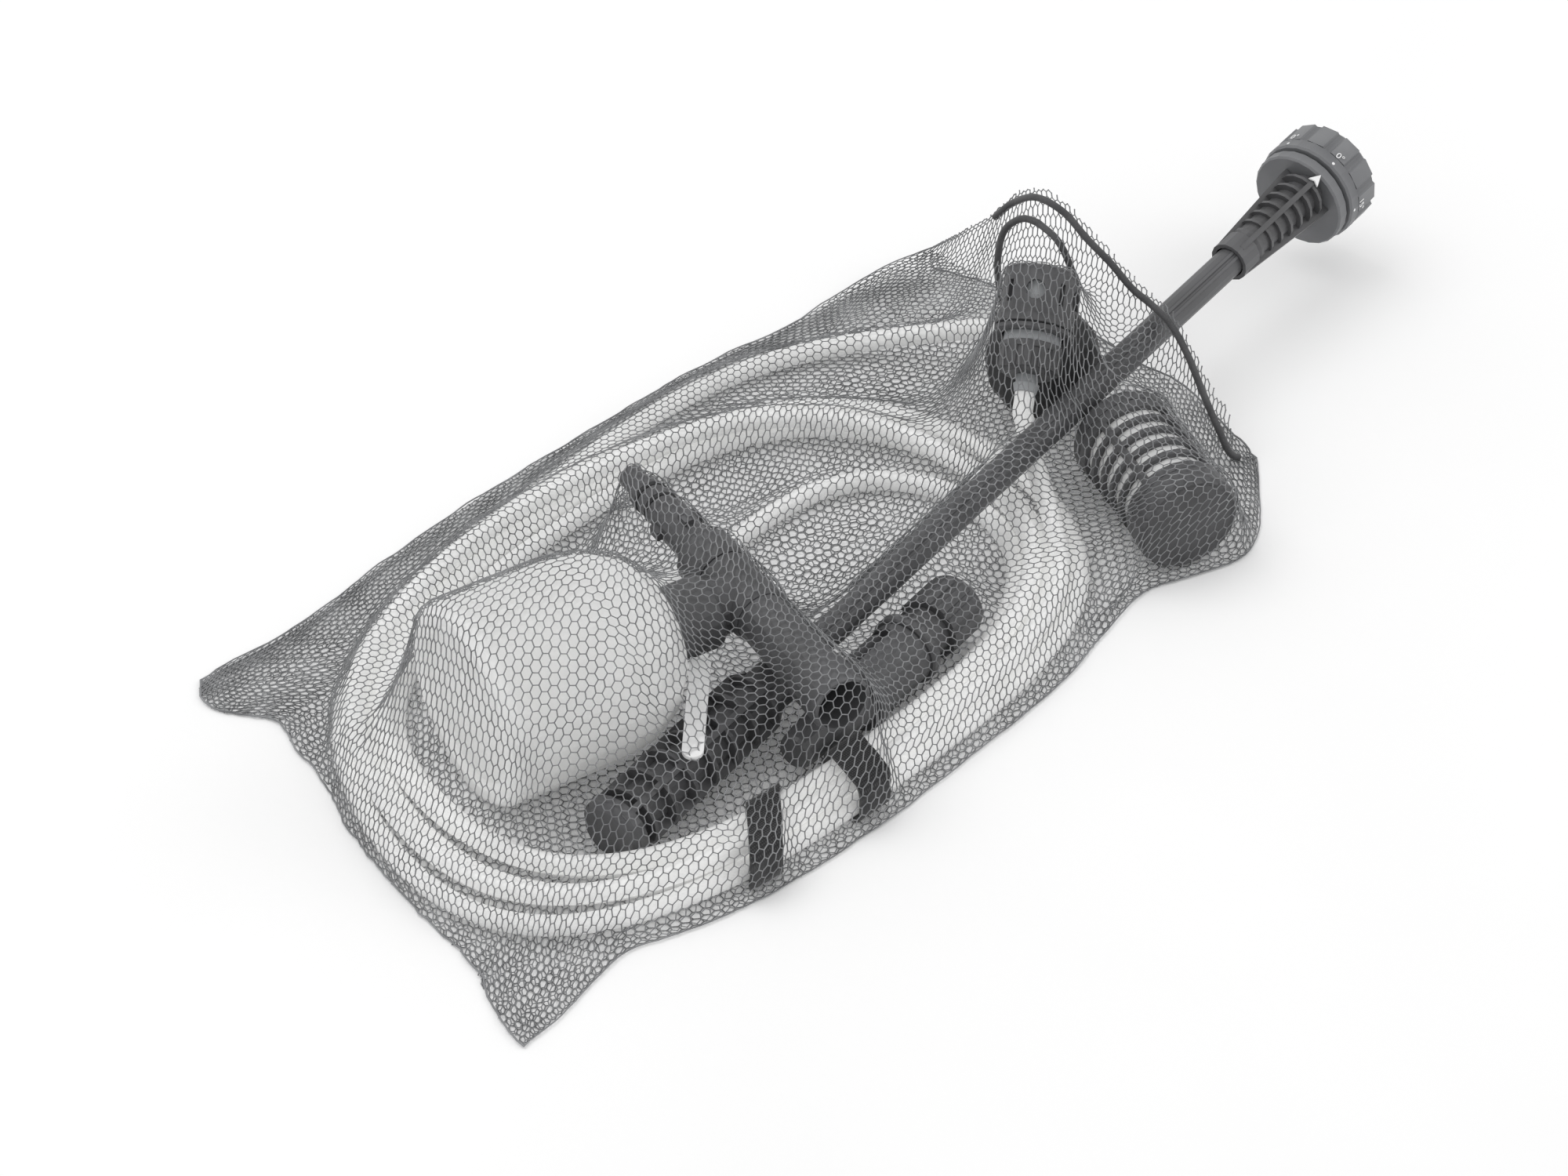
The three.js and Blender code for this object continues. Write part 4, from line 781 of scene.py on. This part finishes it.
def on_panel(panel, flat, long, wide, ways):
    last_i, last_j = panel.shape[0] - 1, panel.shape[1] - 1
    u = np.interp(flat[:, 0] / long, ways[0][1], ways[0][0]) * last_i
    v = np.interp(flat[:, 1] / wide, ways[1][1], ways[1][0]) * last_j
    i, j = np.minimum(u.astype(int), last_i - 1), np.minimum(v.astype(int), last_j - 1)
    s, r = (u - i)[:, None], (v - j)[:, None]
    flat_part = (1 - s) * (1 - r) * panel[i, j] + s * (1 - r) * panel[i + 1, j]
    return flat_part + (1 - s) * r * panel[i, j + 1] + s * r * panel[i + 1, j + 1]


def mesh_object(name, points, quads, triangles, material):
    data = bpy.data.meshes.new(name)
    sizes = np.r_[np.full(len(quads), 4), np.full(len(triangles), 3)]
    corners = np.r_[quads.ravel(), triangles.ravel()]
    data.vertices.add(len(points))
    data.vertices.foreach_set("co", points.astype(np.float32).ravel())
    data.loops.add(len(corners))
    data.loops.foreach_set("vertex_index", corners.astype(np.int32))
    data.polygons.add(len(sizes))
    data.polygons.foreach_set("loop_start", (np.cumsum(sizes) - sizes).astype(np.int32))
    data.update(calc_edges=True)
    data.validate()
    data.shade_smooth()
    data.materials.append(material)
    obj = bpy.data.objects.new(name, data)
    bpy.context.collection.objects.link(obj)
    return obj


def knitted_mesh(name, points, links):
    """Each strand is a four-sided thread and each corner a small knot."""
    a, b = points[links[:, 0]], points[links[:, 1]]
    line = b - a
    line /= np.maximum(np.linalg.norm(line, axis=1), 1e-9)[:, None]
    side = np.cross(line, [0, 0, 1.0])
    short = np.linalg.norm(side, axis=1) < 0.05
    side[short] = np.cross(line[short], [1.0, 0, 0])
    side /= np.linalg.norm(side, axis=1)[:, None]
    up = np.cross(side, line)
    thin = strand * (0.92 + 0.16 * rng.random(len(a)))[:, None]
    ring = [side, up, -side, -up]
    verts = np.stack([end + r * thin for end in (a, b) for r in ring], 1).reshape(-1, 3)
    base = np.arange(len(a))[:, None] * 8
    quads = np.concatenate([base + [k, (k + 1) % 4, 4 + (k + 1) % 4, 4 + k] for k in range(4)])
    used = np.unique(links)
    centre = points[used]
    axes = np.array([(1, 0, 0), (0, 1, 0), (-1, 0, 0), (0, -1, 0), (0, 0, 1), (0, 0, -1)]) * knot
    knots = (centre[:, None] + axes[None]).reshape(-1, 3)
    base = np.arange(len(used))[:, None] * 6 + len(verts)
    faces = [base + [k, (k + 1) % 4, 4] for k in range(4)] + [base + [(k + 1) % 4, k, 5] for k in range(4)]
    return mesh_object(name, mm(np.vstack([verts, knots])), quads, np.concatenate(faces), thread)


def knit(name, panel, skew, cad_node, ways, parts=3):
    """A layer of netting, in parts that are small enough to export whole."""
    long, wide = mean_size(panel)
    long, wide = long * ways[0][2], wide * ways[1][2]
    flat, links = lattice(long, wide, skew)
    points = on_panel(panel, flat, long, wide, ways)
    centre = flat[links].mean(1)[:, 0]
    for part in range(parts):
        mine = links[(centre >= long * part / parts) & (centre < long * (part + 1) / parts)]
        piece = knitted_mesh(f"{name}_{part + 1}", points, mine)
        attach(piece, "bag_and_contents")
        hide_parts(cad_node)


upper_bunches = (gathered((0, 0.03, 0.5)), gathered((1, 0.07, 1.3), (0, 0.03, 0.3)))
lower_bunches = (gathered((0, 0.05, 0.6), (1, 0.05, 0.3)), gathered((1, 0.07, 1.3), (0, 0.03, 0.3)))
upper_skew, lower_skew = 0.32, -0.1
knit(
    "net_upper", upper_panel, upper_skew, "bag_top_panel",
    upper_bunches,
)
knit("net_lower", lower_panel, lower_skew, "bag_bottom_panel", lower_bunches)

# ---------------------------------------------------------------- seams, drawstring and straps


def seam(name, points, radius):
    piece = tube_curve(name, mm(points), radius * 0.001, thread, around=3)
    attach(piece, "bag_and_contents")


def wavy(line, size, step):
    """A sewn edge is never quite straight."""
    line = even(line, int(length_of(line) / step))
    sway = rng.normal(0, 1, line.shape)
    sway = (sway + np.roll(sway, 1, 0) + np.roll(sway, -1, 0)) / 3
    sway[0] = sway[-1] = 0
    line = line + sway * [size, size, size * 0.3]
    line[:, 2] = np.maximum(line[:, 2], 0.9)
    return line


seam("closed_side_seam", wavy(spline(with_height(closed_side, 1.4)), 1.2, 4), 0.5)
seam("near_side_seam", wavy(spline(with_height(near_side, 1.4)), 0.5, 5), 0.34)
seam("far_side_seam", wavy(spline(with_height(far_side, 1.4)), 0.5, 5), 0.34)
seam("hem_seam", wavy(spline(with_height(hem, 1.4)), 0.9, 4), 0.5)

lip_line = spline(lip)
string_line = even(lip_line, 110)[4:-18] + [0.9, 0, 1.0]
drawstring = tube_curve("lip_drawstring", mm(string_line), 0.0018, cord_cover)
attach(drawstring, "bag_and_contents")
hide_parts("drawstring")

loop = [
    (268, 57, 66), (266.5, 66, 65), (263, 74, 57), (261, 77, 42), (259, 74, 22), (258, 64, 7.5),
    (257, 50, 3.6), (257, 38, 7.5), (257, 28, 20), (258, 23, 34), (260, 24, 46), (263, 32, 57),
    (266, 43, 64), (268, 58, 66),
]
loop_path = mm(even(spline(loop), 70))
string_loop = tube_curve("drawstring_tail", loop_path, 0.0018, cord_cover)
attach(string_loop, "bag_and_contents")
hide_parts("drawstring_loop")


def soft_copy(name, node_name, material, levels=2, bulge=0.0004):
    """The strap as cloth: its edges rounded, its faces slightly uneven."""
    data = nodes[node_name].data.copy()
    data.name = name
    obj = bpy.data.objects.new(name, data)
    bpy.context.collection.objects.link(obj)
    work = bmesh.new()
    work.from_mesh(data)
    bmesh.ops.remove_doubles(work, verts=work.verts, dist=1e-5)
    bmesh.ops.dissolve_limit(work, angle_limit=0.02, verts=work.verts, edges=work.edges)
    bmesh.ops.subdivide_edges(work, edges=work.edges, cuts=levels, use_grid_fill=True)
    for vert in work.verts:
        wave = math.sin(vert.co.x * 900) * math.sin(vert.co.y * 700 + 1) * math.sin(vert.co.z * 800 + 2)
        vert.co += vert.normal * bulge * wave
    work.to_mesh(data)
    work.free()
    data.materials.clear()
    data.materials.append(material)
    data.shade_smooth()
    data.set_sharp_from_angle(angle=math.radians(40))
    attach(obj, "bag_and_contents")
    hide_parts(node_name)


soft_copy("near_hose_strap", "near_strap", webbing)
soft_copy("far_hose_strap", "far_strap", webbing)

# ---------------------------------------------------------------- marks on the spray selector

dial = next(joint for joint in frame["joints"] if joint["name"] == "selector_turn")
dial_axis = np.array(dial["axis"])
dial_centre = np.array(dial["pos_m"])
to_pointer = middle("selector_pointer") - dial_centre
pointer_along = to_pointer @ dial_axis
dial_up = to_pointer - pointer_along * dial_axis
pointer_reach = float(np.linalg.norm(dial_up))
dial_up /= pointer_reach
dial_side = np.cross(dial_axis, dial_up)


def flat_piece(name, outline, thickness, basis, place, material):
    """A thin plate: outline in the plane of the first two directions, thick along the third."""
    work = bmesh.new()
    first, second, third = np.array(basis)
    rings = []
    for lift in (0, thickness):
        spots = [np.array(place) + x * first + y * second + lift * third for x, y in outline]
        rings.append([work.verts.new(spot) for spot in spots])
    work.faces.new(rings[1])
    work.faces.new(rings[0][::-1])
    for k in range(len(outline)):
        n = (k + 1) % len(outline)
        work.faces.new((rings[0][k], rings[0][n], rings[1][n], rings[1][k]))
    bmesh.ops.recalc_face_normals(work, faces=work.faces)
    data = bpy.data.meshes.new(name)
    work.to_mesh(data)
    work.free()
    data.materials.append(material)
    obj = bpy.data.objects.new(name, data)
    bpy.context.collection.objects.link(obj)
    return obj


arrow_thickness = 0.001
arrow = [(-0.0032, -0.0030), (0.0036, 0.0), (-0.0032, 0.0030), (-0.0018, 0.0)]
pointer_spot = dial_centre + dial_axis * (pointer_along + 0.0004) + dial_up * (pointer_reach - 0.0005)
pointer_basis = (dial_axis, dial_side, dial_up)
pointer = flat_piece("white_arrow", arrow, arrow_thickness, pointer_basis, pointer_spot, ink)
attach(pointer, "bag_and_contents")
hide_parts("selector_pointer")

letter_size, letter_depth = 0.0052, 0.00006
letters_along, letters_out = 0.0165, 0.0277
dot_radius, dot_thickness = 0.0008, 0.00012
dots_along, dots_out = 0.0108, 0.02727
circle = np.linspace(0, 2 * math.pi, 16, endpoint=False)
dot = [(dot_radius * math.cos(a), dot_radius * math.sin(a)) for a in circle]

for k, label in enumerate(["0°", "15°", "25°", "40°", "60°", "0°"]):
    turn = math.radians(60 * k)
    out = math.cos(turn) * dial_up + math.sin(turn) * dial_side
    around = -math.sin(turn) * dial_up + math.cos(turn) * dial_side
    letters = bpy.data.curves.new(f"dial_letters_{k + 1}", "FONT")
    letters.body = label
    letters.size = letter_size
    letters.extrude = letter_depth
    letters.align_x = "CENTER"
    letters.align_y = "CENTER"
    written = bpy.data.objects.new(f"dial_letters_{k + 1}", letters)
    data = bpy.data.meshes.new_from_object(written)
    bpy.data.objects.remove(written)
    turned = np.array([around, np.cross(out, around), out]).T
    spot = dial_centre + dial_axis * letters_along + out * letters_out
    for vertex in data.vertices:
        vertex.co = spot + turned @ np.array(vertex.co)
    data.materials.clear()
    data.materials.append(ink)
    mark = bpy.data.objects.new(f"dial_mark_{k + 1}", data)
    bpy.context.collection.objects.link(mark)
    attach(mark, "selector")
    spot = dial_centre + dial_axis * dots_along + out * dots_out
    point = flat_piece(f"dial_dot_{k + 1}", dot, dot_thickness, (dial_axis, around, out), spot, ink)
    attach(point, "selector")

# ---------------------------------------------------------------- floor and backdrop

floor_mesh = bpy.data.meshes.new("floor")
floor_mesh.from_pydata([(-6, -6, 0), (6, -6, 0), (6, 6, 0), (-6, 6, 0)], [], [(0, 1, 2, 3)])
floor_object = bpy.data.objects.new("floor", floor_mesh)
bpy.context.collection.objects.link(floor_object)
# White paper: even and matt. A faint glow, for the camera alone, keeps it white to its edges.
paper, tree, shader = new_material("white_paper")
grain = add_node(tree, "ShaderNodeTexNoise", Scale=per_mm(16.667), Detail=3.0).outputs["Fac"]
tree.links.new(mixed(tree, grain, "#fdfdfd", "#ffffff", 0.3, 0.7), shader.inputs["Base Color"])
shader.inputs["Roughness"].default_value = 0.9
shader.inputs["Specular IOR Level"].default_value = 0.1
seen = add_node(tree, "ShaderNodeLightPath").outputs["Is Camera Ray"]
glow = add_node(tree, "ShaderNodeMapRange", Value=seen, To_Min=0.0, To_Max=0.06)
tree.links.new(glow.outputs["Result"], shader.inputs["Emission Strength"])
shader.inputs["Emission Color"].default_value = linear("#ffffff")
floor_mesh.materials.append(paper)

world = bpy.data.worlds.new("studio")
bpy.context.scene.world = world
world.use_nodes = True
world.node_tree.nodes["Background"].inputs["Color"].default_value = linear("#ffffff")
world.node_tree.nodes["Background"].inputs["Strength"].default_value = 0.76
